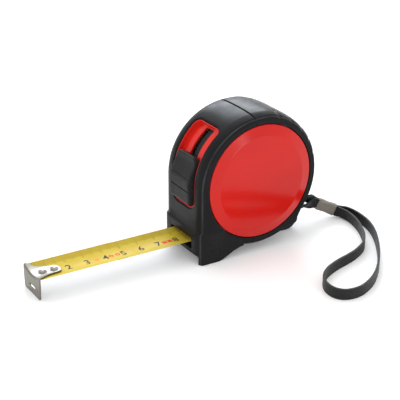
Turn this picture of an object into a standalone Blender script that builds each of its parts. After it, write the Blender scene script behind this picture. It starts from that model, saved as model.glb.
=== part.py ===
"""A pocket tape measure, 5 m by 19 mm, with its blade pulled out 82 mm and locked.

Two black frames wrap round a red two-part housing that holds the reel.
All sizes below are millimetres in the case's own frame: X is 0 on the reel's axis and the blade
runs towards -X, Y is 0 on the middle plane, and Z is 0 on the surface the tape stands on.
The whole model hangs on one empty, which moves the middle of the rear foot to the world's origin.
"""

import math

import bmesh
import bpy
from mathutils import Vector

MM = 0.001
GAP = 0.3

# The case, seen from the side.
REEL_Z = 39.0
BAND_R = 35.3
# The case's cross-section: half-width, then how far the surface is drawn in at the top and back,
# and how far at the front. A negative value is the crown of the top.
CASE_LEVELS = ((18.0, 2.2, 2.8), (15.9, 0.8, 0.75), (12.0, -0.1, 0.0), (5.0, -0.5, 0.0))
CAVITY_R = 33.1
CAVITY_HALF = 15.6
FLOOR_Z = 7.4
CHANNEL_X = 14.5
SEAM_X = -3.7
HEEL_X, HEEL_Z, HEEL_R = 21.3, 12.9, 4.2

# The nose: two legs, the step round the front and the mouth.
NOSE_X = -36.3
NOSE_LEVELS = ((18.5, 3.0), (18.0, 2.0), (16.7, 1.1), (14.0, 0.0))
NOSE_TOP = 16.5
LEG_END_X = -24.4
ARCH_END_X = -8.5
LEG_INNER = 16.0
LIP_Z = 4.8
MOUTH_HALF = 10.2
MOUTH_TOP = 13.5

# The rear foot and the lug in it that holds the strap's pin.
FOOT_X = 26.0
FOOT_HALF = 5.2
SLOT_HALF = 3.3
PIN_X, PIN_Z, PIN_R = 30.6, 12.4, 1.8

# The red housing and its covers.
SHELL_R = 32.8
SHELL_HALF = 15.3
SHELL_WALL = 1.6
SHELL_CHAMFER = 1.0
DISC_R = 29.9
DISC_HOLE_R = 30.3
DISC_FLAT_R = 24.6
DISC_BACK = 15.9
DISC_RIM = 17.9
DISC_FACE = 19.2

# The window for the lock, measured along the front from its lower end.
WINDOW_BOTTOM_Z = 27.7
WINDOW_LENGTH = 46.0
WINDOW_HALF = 10.6
TRACK_OUTER_HALF = 10.3
TRACK_WALL = 0.8
TRACK_FLOOR_R = 32.2
TRACK_SLOT_HALF = 2.9
LOCK_HALF = 9.2
LOCK_START = 4.0
LOCK_LENGTH = 24.7

# The blade.
BLADE_HALF = 9.5
BLADE_EDGE_Z = 11.4
BLADE_SAG = 2.4
BLADE_THICK = 0.35
FRONT_STRIP = (-118.1, -69.2)
REAR_STRIP = (-77.3, -28.8)
HOOK_X = -119.2
HOOK_THICK = 0.8
RIVETS_X = (-113.4, -107.3)

# The reel.
COIL_R = 26.9
FLANGE_R = 27.4
DRUM_R = 13.4
SPINDLE_R = 3.0
SPRING_TURNS = 7

# The wrist strap, a flat webbing that stands on its edge.
STRAP_WIDTH = 5.6
STRAP_THICK = 1.2
STRAND_OFFSET = 0.9
FERRULE_START = Vector((50.2, 0.0, 8.4))
FERRULE_END = Vector((58.8, -4.6, 4.3))
LOOP_ROUTE = (
    (60.6, -8.4, 3.6),
    (61.5, -13.5, 3.2),
    (60.6, -19.9, 3.1),
    (58.5, -26.7, 3.0),
    (55.3, -33.4, 3.0),
    (51.5, -39.8, 3.0),
    (45.6, -46.2, 3.0),
    (37.6, -50.8, 3.0),
    (30.5, -53.3, 3.0),
    (23.9, -55.1, 3.0),
    (18.5, -57.0, 3.0),
    (12.6, -59.8, 3.0),
    (6.6, -64.6, 3.0),
    (3.0, -71.6, 3.0),
    (3.2, -78.4, 3.0),
    (7.4, -82.6, 3.0),
    (15.8, -82.8, 3.0),
    (26.4, -77.8, 3.0),
    (36.2, -69.6, 3.0),
    (45.9, -58.7, 3.0),
    (54.6, -46.7, 3.0),
    (60.6, -36.5, 3.0),
    (64.4, -26.8, 3.0),
    (65.8, -16.6, 3.1),
    (64.4, -9.0, 3.5),
)

# The belt clip on the far face.
CLIP_HALF = 12.5
CLIP_THICK = 1.0
CLIP_TOP_Z = 45.5
CLIP_BOTTOM_Z = 14.0

BLACK = ("black_abs", (0.026, 0.027, 0.029), 0.38, 0.0)
RED = ("red_abs", (0.62, 0.026, 0.02), 0.25, 0.0)
STEEL = ("nickel_steel", (0.55, 0.53, 0.5), 0.3, 1.0)
YELLOW = ("yellow_blade", (0.85, 0.62, 0.04), 0.35, 0.0)
WEBBING = ("black_webbing", (0.02, 0.02, 0.022), 0.6, 0.0)
NYLON = ("white_nylon", (0.75, 0.74, 0.7), 0.45, 0.0)
SPRING = ("spring_steel", (0.2, 0.21, 0.24), 0.3, 1.0)

materials = {}
datum = None


# ---------------------------------------------------------------- helpers


def clear_scene():
    for item in list(bpy.data.objects):
        bpy.data.objects.remove(item, do_unlink=True)


def make_datum():
    """The empty that every piece hangs on: it puts the rear foot's middle at the origin."""
    empty = bpy.data.objects.new("case_datum", None)
    empty.location = (-FOOT_X * MM, 0.0, 0.0)
    bpy.context.scene.collection.objects.link(empty)
    return empty


def make_axis(name, x, z):
    """An empty on a moving piece's axis, given in the case's frame."""
    empty = bpy.data.objects.new(name, None)
    empty.location = (x * MM, 0.0, z * MM)
    empty.parent = datum
    bpy.context.scene.collection.objects.link(empty)
    return empty


def material_of(finish):
    name, colour, roughness, metallic = finish
    if name not in materials:
        made = bpy.data.materials.new(name)
        made.use_nodes = True
        shader = made.node_tree.nodes["Principled BSDF"]
        shader.inputs["Base Color"].default_value = (*colour, 1.0)
        shader.inputs["Roughness"].default_value = roughness
        shader.inputs["Metallic"].default_value = metallic
        materials[name] = made
    return materials[name]


def add_piece(name, mesh_data, finish, axis=None):
    """Turns a bmesh in millimetres into a named piece; a moving piece's axis empty is its parent."""
    bmesh.ops.remove_doubles(mesh_data, verts=mesh_data.verts, dist=1e-5)
    bmesh.ops.recalc_face_normals(mesh_data, faces=mesh_data.faces)
    if axis is not None:
        offset = Vector(axis.location) / MM
        bmesh.ops.translate(mesh_data, vec=-offset, verts=mesh_data.verts)
    bmesh.ops.scale(mesh_data, vec=(MM, MM, MM), verts=mesh_data.verts)
    mesh = bpy.data.meshes.new(name)
    mesh_data.to_mesh(mesh)
    mesh_data.free()
    piece = bpy.data.objects.new(name, mesh)
    piece.parent = axis or datum
    bpy.context.scene.collection.objects.link(piece)
    mesh.materials.append(material_of(finish))
    mesh.shade_smooth()
    mesh.set_sharp_from_angle(angle=math.radians(30))
    return piece


def add_tool(name, mesh_data):
    """A body used only by Boolean modifiers."""
    tool = add_piece(name, mesh_data, BLACK)
    tool.hide_render = True
    tool.display_type = "WIRE"
    return tool


def combine(piece, operation, tool):
    step = piece.modifiers.new(tool.name, "BOOLEAN")
    step.operation = operation
    step.object = tool
    step.solver = "EXACT"


def cut(piece, *tools):
    for tool in tools:
        combine(piece, "DIFFERENCE", tool)


def join(piece, *tools):
    for tool in tools:
        combine(piece, "UNION", tool)


def bevel(piece, width, segments=2, angle=40.0):
    step = piece.modifiers.new("edge_bevel", "BEVEL")
    step.width = width * MM
    step.segments = segments
    step.limit_method = "ANGLE"
    step.angle_limit = math.radians(angle)
    step.harden_normals = False


def arc(cx, cz, radius, start, end, count):
    """count + 1 points on a circle in the XZ plane, angles in degrees from +X towards +Z."""
    angles = [math.radians(start + (end - start) * i / count) for i in range(count + 1)]
    return [(cx + radius * math.cos(a), cz + radius * math.sin(a)) for a in angles]


def bezier(p0, p1, p2, p3, count):
    """count + 1 points on a cubic curve."""
    points = []
    for i in range(count + 1):
        t = i / count
        weights = ((1 - t) ** 3, 3 * t * (1 - t) ** 2, 3 * t * t * (1 - t), t**3)
        x = sum(w * p[0] for w, p in zip(weights, (p0, p1, p2, p3)))
        z = sum(w * p[1] for w, p in zip(weights, (p0, p1, p2, p3)))
        points.append((x, z))
    return points


def loft_outlines(levels):
    """A closed body through XZ outlines of equal length, each at its own Y."""
    body = bmesh.new()
    rings = [[body.verts.new((x, y, z)) for x, z in outline] for y, outline in levels]
    for low, high in zip(rings, rings[1:]):
        for i, vertex in enumerate(low):
            j = (i + 1) % len(low)
            body.faces.new((vertex, low[j], high[j], high[i]))
    body.faces.new(rings[0])
    body.faces.new(reversed(rings[-1]))
    return body


def prism(outline, y0, y1):
    return loft_outlines([(y0, outline), (y1, outline)])


def box(x0, x1, y0, y1, z0, z1):
    return prism([(x0, z0), (x1, z0), (x1, z1), (x0, z1)], y0, y1)


def turned(profile, steps, cx=0.0, cz=REEL_Z, body=None):
    """A body turned about the line along Y through (cx, cz), from a closed (radius, y) profile."""
    body = body or bmesh.new()
    rings = []
    for i in range(steps):
        angle = 2 * math.pi * i / steps
        rings.append(
            [
                body.verts.new((cx + r * math.cos(angle), y, cz + r * math.sin(angle)))
                for r, y in profile
            ]
        )
    for i in range(steps):
        near, far = rings[i], rings[(i + 1) % steps]
        for j in range(len(profile)):
            k = (j + 1) % len(profile)
            corners = []
            for vertex in (near[j], far[j], far[k], near[k]):
                if all((vertex.co - seen.co).length > 1e-6 for seen in corners):
                    corners.append(vertex)
            if len(corners) > 2:
                body.faces.new(corners)
    return body


def rod(radius, y0, y1, cx, cz, steps=20):
    """A plain pin or hole along Y."""
    return prism(arc(cx, cz, radius, 0, 360 - 360 / steps, steps - 1), y0, y1)


def upright_rod(radius, z0, z1, cx, cy, steps=16):
    """A plain pin or hole along Z."""
    body = bmesh.new()
    bmesh.ops.create_cone(
        body, cap_ends=True, segments=steps, radius1=radius, radius2=radius, depth=z1 - z0
    )
    bmesh.ops.translate(body, vec=(cx, cy, (z0 + z1) / 2), verts=body.verts)
    return body


def upright_slot(radius, length, z0, z1, x, steps=8):
    """A round-ended slot cutter along Z that runs from x by its length towards +X."""
    outline = []
    for cx, first in ((x, 90), (x + length, -90)):
        for i in range(steps + 1):
            angle = math.radians(first + 180 * i / steps)
            outline.append((cx + radius * math.cos(angle), radius * math.sin(angle)))
    body = bmesh.new()
    low = [body.verts.new((px, py, z0)) for px, py in outline]
    high = [body.verts.new((px, py, z1)) for px, py in outline]
    for i, vertex in enumerate(low):
        j = (i + 1) % len(low)
        body.faces.new((vertex, low[j], high[j], high[i]))
    body.faces.new(low)
    body.faces.new(reversed(high))
    return body


def smooth_route(points, step):
    """Points along a Catmull-Rom curve through the given ones, about step apart."""
    points = [Vector(p) for p in points]
    padded = [2 * points[0] - points[1], *points, 2 * points[-1] - points[-2]]
    dense = []
    for a, b, c, d in zip(padded, padded[1:], padded[2:], padded[3:]):
        for i in range(24):
            t = i / 24
            dense.append(
                0.5
                * (
                    2 * b
                    + (c - a) * t
                    + (2 * a - 5 * b + 4 * c - d) * t * t
                    + (3 * b - a - 3 * c + d) * t**3
                )
            )
    dense.append(points[-1])
    lengths = [0.0]
    for a, b in zip(dense, dense[1:]):
        lengths.append(lengths[-1] + (b - a).length)
    count = max(2, round(lengths[-1] / step))
    route = []
    at = 0
    for i in range(count + 1):
        wanted = lengths[-1] * i / count
        while at < len(dense) - 2 and lengths[at + 1] < wanted:
            at += 1
        share = (wanted - lengths[at]) / max(lengths[at + 1] - lengths[at], 1e-9)
        route.append(dense[at].lerp(dense[at + 1], min(1.0, share)))
    return route


def ribbon(route, widths_along, leaving):
    """A flat webbing swept along a route that leaves one place and comes back to it.

    widths_along gives the direction of its width, and leaving is square to both cut ends.
    """
    body = bmesh.new()
    rings = []
    for i, point in enumerate(route):
        if i == 0:
            ahead = leaving.copy()
        elif i == len(route) - 1:
            ahead = -leaving
        else:
            ahead = (route[i + 1] - route[i - 1]).normalized()
        across = widths_along[i] - ahead * widths_along[i].dot(ahead)
        across.normalize()
        through = ahead.cross(across)
        half = across * STRAP_WIDTH / 2
        thin = through * STRAP_THICK / 2
        rings.append(
            [body.verts.new(point + a * half + b * thin) for a, b in ((1, 1), (-1, 1), (-1, -1), (1, -1))]
        )
    for low, high in zip(rings, rings[1:]):
        for i in range(4):
            j = (i + 1) % 4
            body.faces.new((low[i], low[j], high[j], high[i]))
    body.faces.new(rings[0])
    body.faces.new(reversed(rings[-1]))
    return body


# ---------------------------------------------------------------- outlines


def case_outline(top_inset, front_inset):
    """The black case from the side, drawn in from its widest: belly, heel, back, top and front."""
    under = max(0.0, top_inset)
    arch_angle = -90.0 - math.degrees(math.asin(-ARCH_END_X / BAND_R))
    points = arc(0, REEL_Z, BAND_R - under, arch_angle, -64, 8)
    points += arc(HEEL_X, HEEL_Z, HEEL_R - under * 0.9, -95, 15, 5)
    for i in range(43):
        angle = -38 + 218 * i / 42
        share = min(1.0, max(0.0, (angle - 100) / 50))
        at_front = share * share * (3 - 2 * share)
        radius = BAND_R - top_inset - (front_inset - top_inset) * at_front
        turn = math.radians(angle)
        points.append((radius * math.cos(turn), REEL_Z + radius * math.sin(turn)))
    foot_z = 0.7 + under * 0.3
    points += [(front_inset - BAND_R, 24.0), (front_inset - BAND_R, foot_z)]
    belly = points[0]
    arch = bezier((LEG_END_X, foot_z), (-20.5, foot_z + 0.2), (-15.5, 5.9), belly, 7)
    return points + arch[:-1]


def nose_outline(inset):
    """The proud lower front: its legs' soles, the arch behind them and the sloping step on top."""
    front = NOSE_X + inset
    sole = max(0.0, 0.3 * (inset - 2.0))
    arch = bezier((LEG_END_X - 0.3 * inset, sole), (-20.5, 0.1 + sole), (-15.8, 5.2), (-9.6, 5.6), 7)
    behind = arc(0, REEL_Z, 31.9, -107.5, -136.0, 5)
    step = [(front + 1.1, NOSE_TOP + 1.8 - 0.4 * inset), (front, NOSE_TOP)]
    return [(front, sole), *arch, *behind, *step]


def housing_outline(radius, front, floor, channel):
    """The reel's round room with the nose in front and the flat channel under it."""
    dip = math.degrees(math.asin((REEL_Z - floor) / radius)) if REEL_Z - floor < radius else 90.0
    side = math.degrees(math.acos(channel / radius))
    points = arc(0, REEL_Z, radius, -side, 180, 44)
    points[-1] = (front, REEL_Z)
    points += [(front, floor)]
    if dip < 90.0:
        points += arc(0, REEL_Z, radius, -180 + dip, -dip, 6)
    points += [(channel, floor)]
    return points


def housing_body(radius, floor, channel, half):
    """The reel's room or the housing round it, with a chamfer along both of its sides."""
    full = housing_outline(radius, -radius, floor, channel)
    drawn_in = radius - SHELL_CHAMFER
    side = housing_outline(drawn_in, -drawn_in, floor, channel)
    near = half - SHELL_CHAMFER
    return loft_outlines([(-half, side), (-near, full), (near, full), (half, side)])


def front_point(along, out):
    """A point on the front, given by its way along the window and its distance from the band."""
    straight = REEL_Z - WINDOW_BOTTOM_Z
    if along < straight:
        return (-(BAND_R + out), WINDOW_BOTTOM_Z + along)
    angle = math.pi - (along - straight) / BAND_R
    return ((BAND_R + out) * math.cos(angle), REEL_Z + (BAND_R + out) * math.sin(angle))


def rounded_racetrack(start, end, half, low_corner, high_corner, steps=5):
    """A flat outline of (along, across) points with round corners."""
    corners = (
        (start + low_corner, -half + low_corner, low_corner, 180),
        (end - high_corner, -half + high_corner, high_corner, 270),
        (end - high_corner, half - high_corner, high_corner, 0),
        (start + low_corner, half - low_corner, low_corner, 90),
    )
    outline = []
    for ca, cb, radius, first in corners:
        for i in range(steps + 1):
            angle = math.radians(first + 90 * i / steps)
            outline.append((ca + radius * math.cos(angle), cb + radius * math.sin(angle)))
    return outline


def bent_prism(outline, low, high):
    """A flat (along, across) outline given a thickness and bent round the front of the case."""
    body = bmesh.new()
    base = [body.verts.new((a, b, low)) for a, b in outline]
    body.faces.new(base)
    made = bmesh.ops.extrude_face_region(body, geom=body.faces[:])
    tops = [v for v in made["geom"] if isinstance(v, bmesh.types.BMVert)]
    bmesh.ops.translate(body, vec=(0, 0, high - low), verts=tops)
    spans = [a for a, _ in outline]
    first, last = min(spans), max(spans)
    for i in range(1, 16):
        at = first + (last - first) * i / 16
        bmesh.ops.bisect_plane(
            body,
            geom=body.verts[:] + body.edges[:] + body.faces[:],
            plane_co=(at, 0, 0),
            plane_no=(1, 0, 0),
            dist=1e-4,
        )
    for vertex in body.verts:
        along, across, out = vertex.co
        x, z = front_point(along, out)
        vertex.co = (x, across, z)
    bmesh.ops.triangulate(body, faces=body.faces)
    return body


# ---------------------------------------------------------------- case


def case_blank(name):
    """The whole black case as one solid with chamfered shoulders, before it is hollowed."""
    levels = [(-half, case_outline(top, front)) for half, top, front in CASE_LEVELS]
    levels += [(half, case_outline(top, front)) for half, top, front in reversed(CASE_LEVELS)]
    return add_piece(name, loft_outlines(levels), BLACK)


def make_shared_tools():
    tools = {}
    tools["cavity"] = add_tool("cut_cavity", housing_body(CAVITY_R, FLOOR_Z, CHANNEL_X, CAVITY_HALF))
    hole = rod(DISC_HOLE_R, -30, 30, 0, REEL_Z, steps=72)
    tools["disc_holes"] = add_tool("cut_disc_holes", hole)
    return tools


def make_front_case(tools):
    piece = case_blank("front_case")
    levels = [(-half, nose_outline(inset)) for half, inset in NOSE_LEVELS]
    levels += [(half, nose_outline(inset)) for half, inset in reversed(NOSE_LEVELS)]
    join(piece, add_tool("add_nose", loft_outlines(levels)))
    rear = add_tool("cut_rear_half", box(SEAM_X - GAP / 2, 60, -30, 30, -10, 90))
    window = rounded_racetrack(0, WINDOW_LENGTH, WINDOW_HALF, 3.0, 4.5)
    opening = add_tool("cut_window", bent_prism(window, -5.0, 3.0))
    mouth = [
        (-45, FLOOR_Z),
        (-29, FLOOR_Z),
        (-29, MOUTH_TOP),
        (-34.2, MOUTH_TOP),
        (-35.4, 14.6),
        (-36.0, NOSE_TOP - 0.4),
        (-45, NOSE_TOP - 0.4),
    ]
    mouth_tool = add_tool("cut_mouth", prism(mouth, -MOUTH_HALF, MOUTH_HALF))
    pocket = [(-45, -5), (-14.0, -5), (-19.0, LIP_Z), (-45, LIP_Z)]
    pocket_tool = add_tool("cut_pocket", prism(pocket, -LEG_INNER, LEG_INNER))
    cut(piece, tools["cavity"], tools["disc_holes"], rear, opening, mouth_tool, pocket_tool)


def make_rear_case(tools):
    piece = case_blank("rear_case")
    sole = [(14, 8.5), (18.5, 5.5), (22.0, 0), (30.0, 0), (32.6, 1.4), (34.1, 4.2), (34.4, 8.2)]
    ear = [(34.2, 12.5), (33.0, 15.4), (29.5, 17.2), (22, 19)]
    lug = add_tool("add_lug", prism(sole + ear, -FOOT_HALF, FOOT_HALF))
    bevel(lug, 1.2)
    join(piece, lug)
    front = add_tool("cut_front_half", box(-60, SEAM_X + GAP / 2, -30, 30, -10, 90))
    slot = add_tool("cut_strap_slot", box(26.4, 45, -SLOT_HALF, SLOT_HALF, 8.3, 16.6))
    pin_hole = add_tool("cut_pin_hole", rod(PIN_R + GAP, -10, 10, PIN_X, PIN_Z))
    cut(piece, tools["cavity"], tools["disc_holes"], front, slot, pin_hole)


def make_strap_pin():
    add_piece("strap_pin", rod(PIN_R, -FOOT_HALF + 0.4, FOOT_HALF - 0.4, PIN_X, PIN_Z), STEEL)


# ---------------------------------------------------------------- housing

SCREW_PLACES = ((19.3, 16.0), (15.0, 65.0), (-28.4, 21.2))


def shell_blank(name, side):
    """One half of the red housing: a round cup with the nose in front, open to the middle."""
    outer = housing_body(SHELL_R, FLOOR_Z + GAP, CHANNEL_X - GAP, SHELL_HALF)
    piece = add_piece(name, outer, RED)
    y0, y1 = sorted((side * GAP / 2, -side * 20))
    cut(piece, add_tool(name + "_other_half", box(-50, 50, y0, y1, -10, 90)))
    inner_r = SHELL_R - SHELL_WALL
    inner = housing_outline(inner_r, -inner_r, FLOOR_Z - 0.4, CHANNEL_X - 0.7)
    y0, y1 = sorted((side * (SHELL_HALF - SHELL_WALL), -side * 3))
    cut(piece, add_tool(name + "_room", prism(inner, y0, y1)))
    return piece


def screw_bodies(radius, y0, y1, steps=14):
    """Three equal rods at the housing's screws, as one cutter or boss."""
    body = bmesh.new()
    for x, z in SCREW_PLACES:
        outline = arc(x, z, radius, 0, 360 - 360 / steps, steps - 1)
        low = [body.verts.new((px, y0, pz)) for px, pz in outline]
        high = [body.verts.new((px, y1, pz)) for px, pz in outline]
        for i in range(steps):
            j = (i + 1) % steps
            body.faces.new((low[i], low[j], high[j], high[i]))
        body.faces.new(low)
        body.faces.new(reversed(high))
    return body


def make_shells():
    window = rounded_racetrack(-0.1, WINDOW_LENGTH + 0.1, WINDOW_HALF + 0.1, 3.0, 4.5)
    opening = add_tool("cut_shell_window", bent_prism(window, -8.0, 0.0))
    mouth = add_tool("cut_shell_mouth", box(-40, -30, -MOUTH_HALF + 0.3, MOUTH_HALF - 0.3, 5, 13.2))
    spindle = add_tool("cut_spindle_hole", rod(SPINDLE_R + GAP, -20, 20, 0, REEL_Z))
    near = shell_blank("near_shell", -1)
    join(near, add_tool("add_near_bosses", screw_bodies(1.9, -SHELL_HALF + 0.4, -0.6)))
    cut(near, opening, mouth, spindle, add_tool("cut_near_holes", screw_bodies(1.05, -12.0, 3.0)))
    far = shell_blank("far_shell", 1)
    join(far, add_tool("add_far_bosses", screw_bodies(1.9, 0.6, SHELL_HALF - 0.4)))
    cut(far, opening, mouth, spindle, add_tool("cut_far_holes", screw_bodies(1.05, -3.0, 20.0)))
    heads = add_tool("cut_head_seats", screw_bodies(1.65, SHELL_HALF - 1.3, 20.0))
    cut(far, heads)


def make_case_screws():
    for number, (x, z) in enumerate(SCREW_PLACES, 1):
        profile = [(0, -9.0), (0.75, -9.0), (0.75, 14.3), (1.35, 14.3), (1.35, 15.2), (0, 15.2)]
        add_piece(f"case_screw_{number}", turned(profile, 12, x, z), STEEL)


def make_disc(name, side):
    """A red cover: a flat middle raised above its rim by a broad chamfer."""
    edge = 0.5
    profile = [
        (0, side * DISC_BACK),
        (DISC_R, side * DISC_BACK),
        (DISC_R, side * (DISC_RIM - edge)),
        (DISC_R - edge, side * DISC_RIM),
        (DISC_FLAT_R + edge, side * (DISC_FACE - 0.1)),
        (DISC_FLAT_R, side * DISC_FACE),
        (0, side * DISC_FACE),
    ]
    piece = add_piece(name, turned(profile, 72), RED)
    if side > 0:
        cut(piece, add_tool("cut_clip_screw_hole", rod(1.9, 10, 25, 0, REEL_Z, 16)))


# ---------------------------------------------------------------- lock


def make_lock_track():
    """The curved red tray in the window that the lock slides in, with a slot down its middle."""
    outer = rounded_racetrack(0.3, WINDOW_LENGTH - 0.3, TRACK_OUTER_HALF, 2.7, 4.2)
    floor_out = TRACK_FLOOR_R - BAND_R
    piece = add_piece("lock_track", bent_prism(outer, floor_out - 1.0, -0.2), RED)
    wall = TRACK_WALL
    inner = rounded_racetrack(0.3 + wall, WINDOW_LENGTH - 0.3 - wall, TRACK_OUTER_HALF - wall, 1.9, 3.4)
    slot = rounded_racetrack(4.0, WINDOW_LENGTH - 3.1, TRACK_SLOT_HALF, 1.1, 1.1, 3)
    cut(
        piece,
        add_tool("cut_track_slot", bent_prism(slot, floor_out - 4.0, 2.5)),
        add_tool("cut_track_room", bent_prism(inner, floor_out, 2.0)),
    )


def lock_surface(share):
    """Height of the thumb slide above the band, along its length from 0 at its foot to 1."""
    knots = (
        (0.0, 0.4),
        (0.06, 2.0),
        (0.25, 2.3),
        (0.3, 1.7),
        (0.35, 2.4),
        (0.5, 2.5),
        (0.56, 1.9),
        (0.67, 1.2),
        (0.82, 0.6),
        (0.95, 1.4),
        (1.0, 0.4),
    )
    for (a, low), (b, high) in zip(knots, knots[1:]):
        if share <= b:
            return low + (high - low) * (share - a) / (b - a)
    return knots[-1][1]


def make_lock_button(axis):
    """The black thumb slide: a curved block with two cross ridges."""
    body = bmesh.new()
    rows = 20
    rings = []
    for i in range(rows + 1):
        share = i / rows
        along = LOCK_START + LOCK_LENGTH * share
        top = lock_surface(share)
        end = min(share, 1 - share)
        half = LOCK_HALF - 0.9 * max(0.0, 1 - end / 0.08) ** 2
        section = ((half, -2.2), (half, top - 0.7), (half - 0.7, top))
        ring = [(*front_point(along, out), across) for across, out in section]
        ring += [(*front_point(along, out), -across) for across, out in reversed(section)]
        rings.append([body.verts.new((x, y, z)) for x, z, y in ring])
    for low, high in zip(rings, rings[1:]):
        for i, vertex in enumerate(low):
            j = (i + 1) % len(low)
            body.faces.new((vertex, low[j], high[j], high[i]))
    body.faces.new(rings[0])
    body.faces.new(reversed(rings[-1]))
    add_piece("lock_button", body, BLACK, axis)


def make_lock_arm(axis):
    """The brake arm inside: an arc under the track with a stem up to the button."""
    inner, outer = 28.9, 30.7
    band = arc(0, REEL_Z, outer, 131, 219, 16) + arc(0, REEL_Z, inner, 219, 131, 16)
    piece = add_piece("lock_arm", prism(band, -4.6, 4.6), BLACK, axis)
    stem = arc(0, REEL_Z, 32.7, 160, 176, 4) + arc(0, REEL_Z, 29.5, 176, 160, 4)
    join(piece, add_tool("add_stem", prism(stem, -1.9, 1.9)))


def make_brake_shoe():
    """The pad that the arm's toe presses on the blade behind the mouth."""
    outline = [(-20.3, 10.0), (-16.0, 10.0), (-15.6, 14.8), (-18.6, 16.6), (-20.3, 16.6)]
    add_piece("brake_shoe", prism(outline, -4.2, 4.2), BLACK)


# ---------------------------------------------------------------- blade


def blade_top(y, drop=0.0):
    """The blade's hollow upper face: high at its edges and low in the middle."""
    return BLADE_EDGE_Z - BLADE_SAG * (1 - (y / BLADE_HALF) ** 2) - drop


def make_strip(name, span, drop):
    """One length of blade with its curved section."""
    ys = [-BLADE_HALF + 2 * BLADE_HALF * i / 12 for i in range(13)]
    body = bmesh.new()
    rings = []
    for x in span:
        top = [body.verts.new((x, y, blade_top(y, drop))) for y in ys]
        low = [body.verts.new((x, y, blade_top(y, drop) - BLADE_THICK)) for y in reversed(ys)]
        rings.append(top + low)
    for i, vertex in enumerate(rings[0]):
        j = (i + 1) % len(rings[0])
        body.faces.new((vertex, rings[0][j], rings[1][j], rings[1][i]))
    body.faces.new(rings[0])
    body.faces.new(reversed(rings[1]))
    return add_piece(name, body, YELLOW)


def make_blade():
    front = make_strip("blade_front", FRONT_STRIP, 0.0)
    for number, x in enumerate(RIVETS_X, 1):
        cut(front, add_tool(f"cut_blade_hole_{number}", upright_rod(1.3, 5, 12, x, 0)))
    make_strip("blade_rear", REAR_STRIP, BLADE_THICK + GAP)


def make_hook():
    """The end hook: a plate in the blade's hollow, bent down into the face that catches an edge."""
    rise = 0.28
    plate = (
        (-102.7, 2.0),
        (-103.5, 3.3),
        (-105.0, 3.9),
        (-111.0, 4.3),
        (-114.3, 5.6),
        (-116.6, 7.9),
    )
    rows = [((x, rise + HOOK_THICK), (x, rise), half) for x, half in plate]
    rows.append(((HOOK_X + 0.5, rise + HOOK_THICK), (HOOK_X + 1.0, rise), 9.1))
    rows.append(((HOOK_X, 0.4 + rise), (HOOK_X + HOOK_THICK, rise - 0.35), 9.3))
    face = ((8.6, 9.3, 0.9), (5.0, 9.2, 0.4), (2.2, 8.9, 0.0), (0.3, 7.2, 0.0))
    across = [-1 + i / 4 for i in range(9)]
    body = bmesh.new()
    rings = []
    for (ox, oz), (ix, iz), half in rows:
        tops = [body.verts.new((ox, s * half, blade_top(s * half) + oz)) for s in across]
        lows = [body.verts.new((ix, s * half, blade_top(s * half) + iz)) for s in reversed(across)]
        rings.append(tops + lows)
    for z, half, follow in face:
        level = [z + follow * (blade_top(s * half) - BLADE_EDGE_Z + BLADE_SAG) for s in across]
        tops = [body.verts.new((HOOK_X, s * half, h)) for s, h in zip(across, level)]
        lows = [
            body.verts.new((HOOK_X + HOOK_THICK, s * half, h))
            for s, h in zip(reversed(across), reversed(level))
        ]
        rings.append(tops + lows)
    for low, high in zip(rings, rings[1:]):
        for i, vertex in enumerate(low):
            j = (i + 1) % len(low)
            body.faces.new((vertex, low[j], high[j], high[i]))
    body.faces.new(rings[0])
    body.faces.new(reversed(rings[-1]))
    bmesh.ops.triangulate(body, faces=body.faces)
    piece = add_piece("end_hook", body, STEEL)
    for number, x in enumerate(RIVETS_X, 1):
        cut(piece, add_tool(f"cut_hook_hole_{number}", upright_slot(1.3, HOOK_THICK, 5, 15, x)))
    cut(piece, add_tool("cut_nail_slot", box(-125, -110, -3.7, 2.7, 3.7, 4.9)))


def make_rivets():
    """Two dome rivets that the hook slides on by its own thickness."""
    low = blade_top(0) - BLADE_THICK + 0.08
    seat = blade_top(0) + HOOK_THICK + 0.28 + 0.27
    for number, x in enumerate(RIVETS_X, 1):
        profile = [(0, low), (0.95, low), (0.95, seat), (2.05, seat), (2.0, seat + 0.35)]
        profile += [(1.5, seat + 0.8), (0.8, seat + 1.0), (0, seat + 1.05)]
        body = turned(profile, 16, 0, 0)
        for vertex in body.verts:
            a, height, b = vertex.co
            vertex.co = (x + a, b, height)
        add_piece(f"hook_rivet_{number}", body, STEEL)


# ---------------------------------------------------------------- reel


def make_spindle():
    profile = [(0, -15.1), (SPINDLE_R, -15.1), (SPINDLE_R, 15.1), (1.35, 15.1), (1.35, 4.0), (0, 4.0)]
    piece = add_piece("spindle", turned(profile, 24), STEEL)
    cut(piece, add_tool("cut_spring_slot", box(-0.6, 0.6, -12, 2.5, 30, REEL_Z + 1.0)))


def make_reel(axis):
    drum = [
        (SPINDLE_R + 0.4, -11.4),
        (FLANGE_R, -11.4),
        (FLANGE_R, -10.4),
        (DRUM_R, -10.4),
        (DRUM_R, 10.3),
        (DRUM_R - 1.4, 10.3),
        (DRUM_R - 1.4, -10.2),
        (SPINDLE_R + 0.4, -10.2),
    ]
    add_piece("reel_drum", turned(drum, 48), NYLON, axis)
    cover = [(SPINDLE_R + 0.4, 10.6), (FLANGE_R, 10.6), (FLANGE_R, 11.5), (SPINDLE_R + 0.4, 11.5)]
    add_piece("reel_cover", turned(cover, 48), NYLON, axis)
    coil = [(DRUM_R + GAP, -9.6), (COIL_R, -9.6), (COIL_R, 9.6), (DRUM_R + GAP, 9.6)]
    add_piece("blade_coil", turned(coil, 48), YELLOW, axis)
    for name, side in (("near_washer", -1), ("far_washer", 1)):
        inner, outer = sorted((side * 11.8, side * 13.4))
        ring = [(SPINDLE_R + 0.4, inner), (6.0, inner), (6.0, outer), (SPINDLE_R + 0.4, outer)]
        add_piece(name, turned(ring, 24), NYLON)


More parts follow.
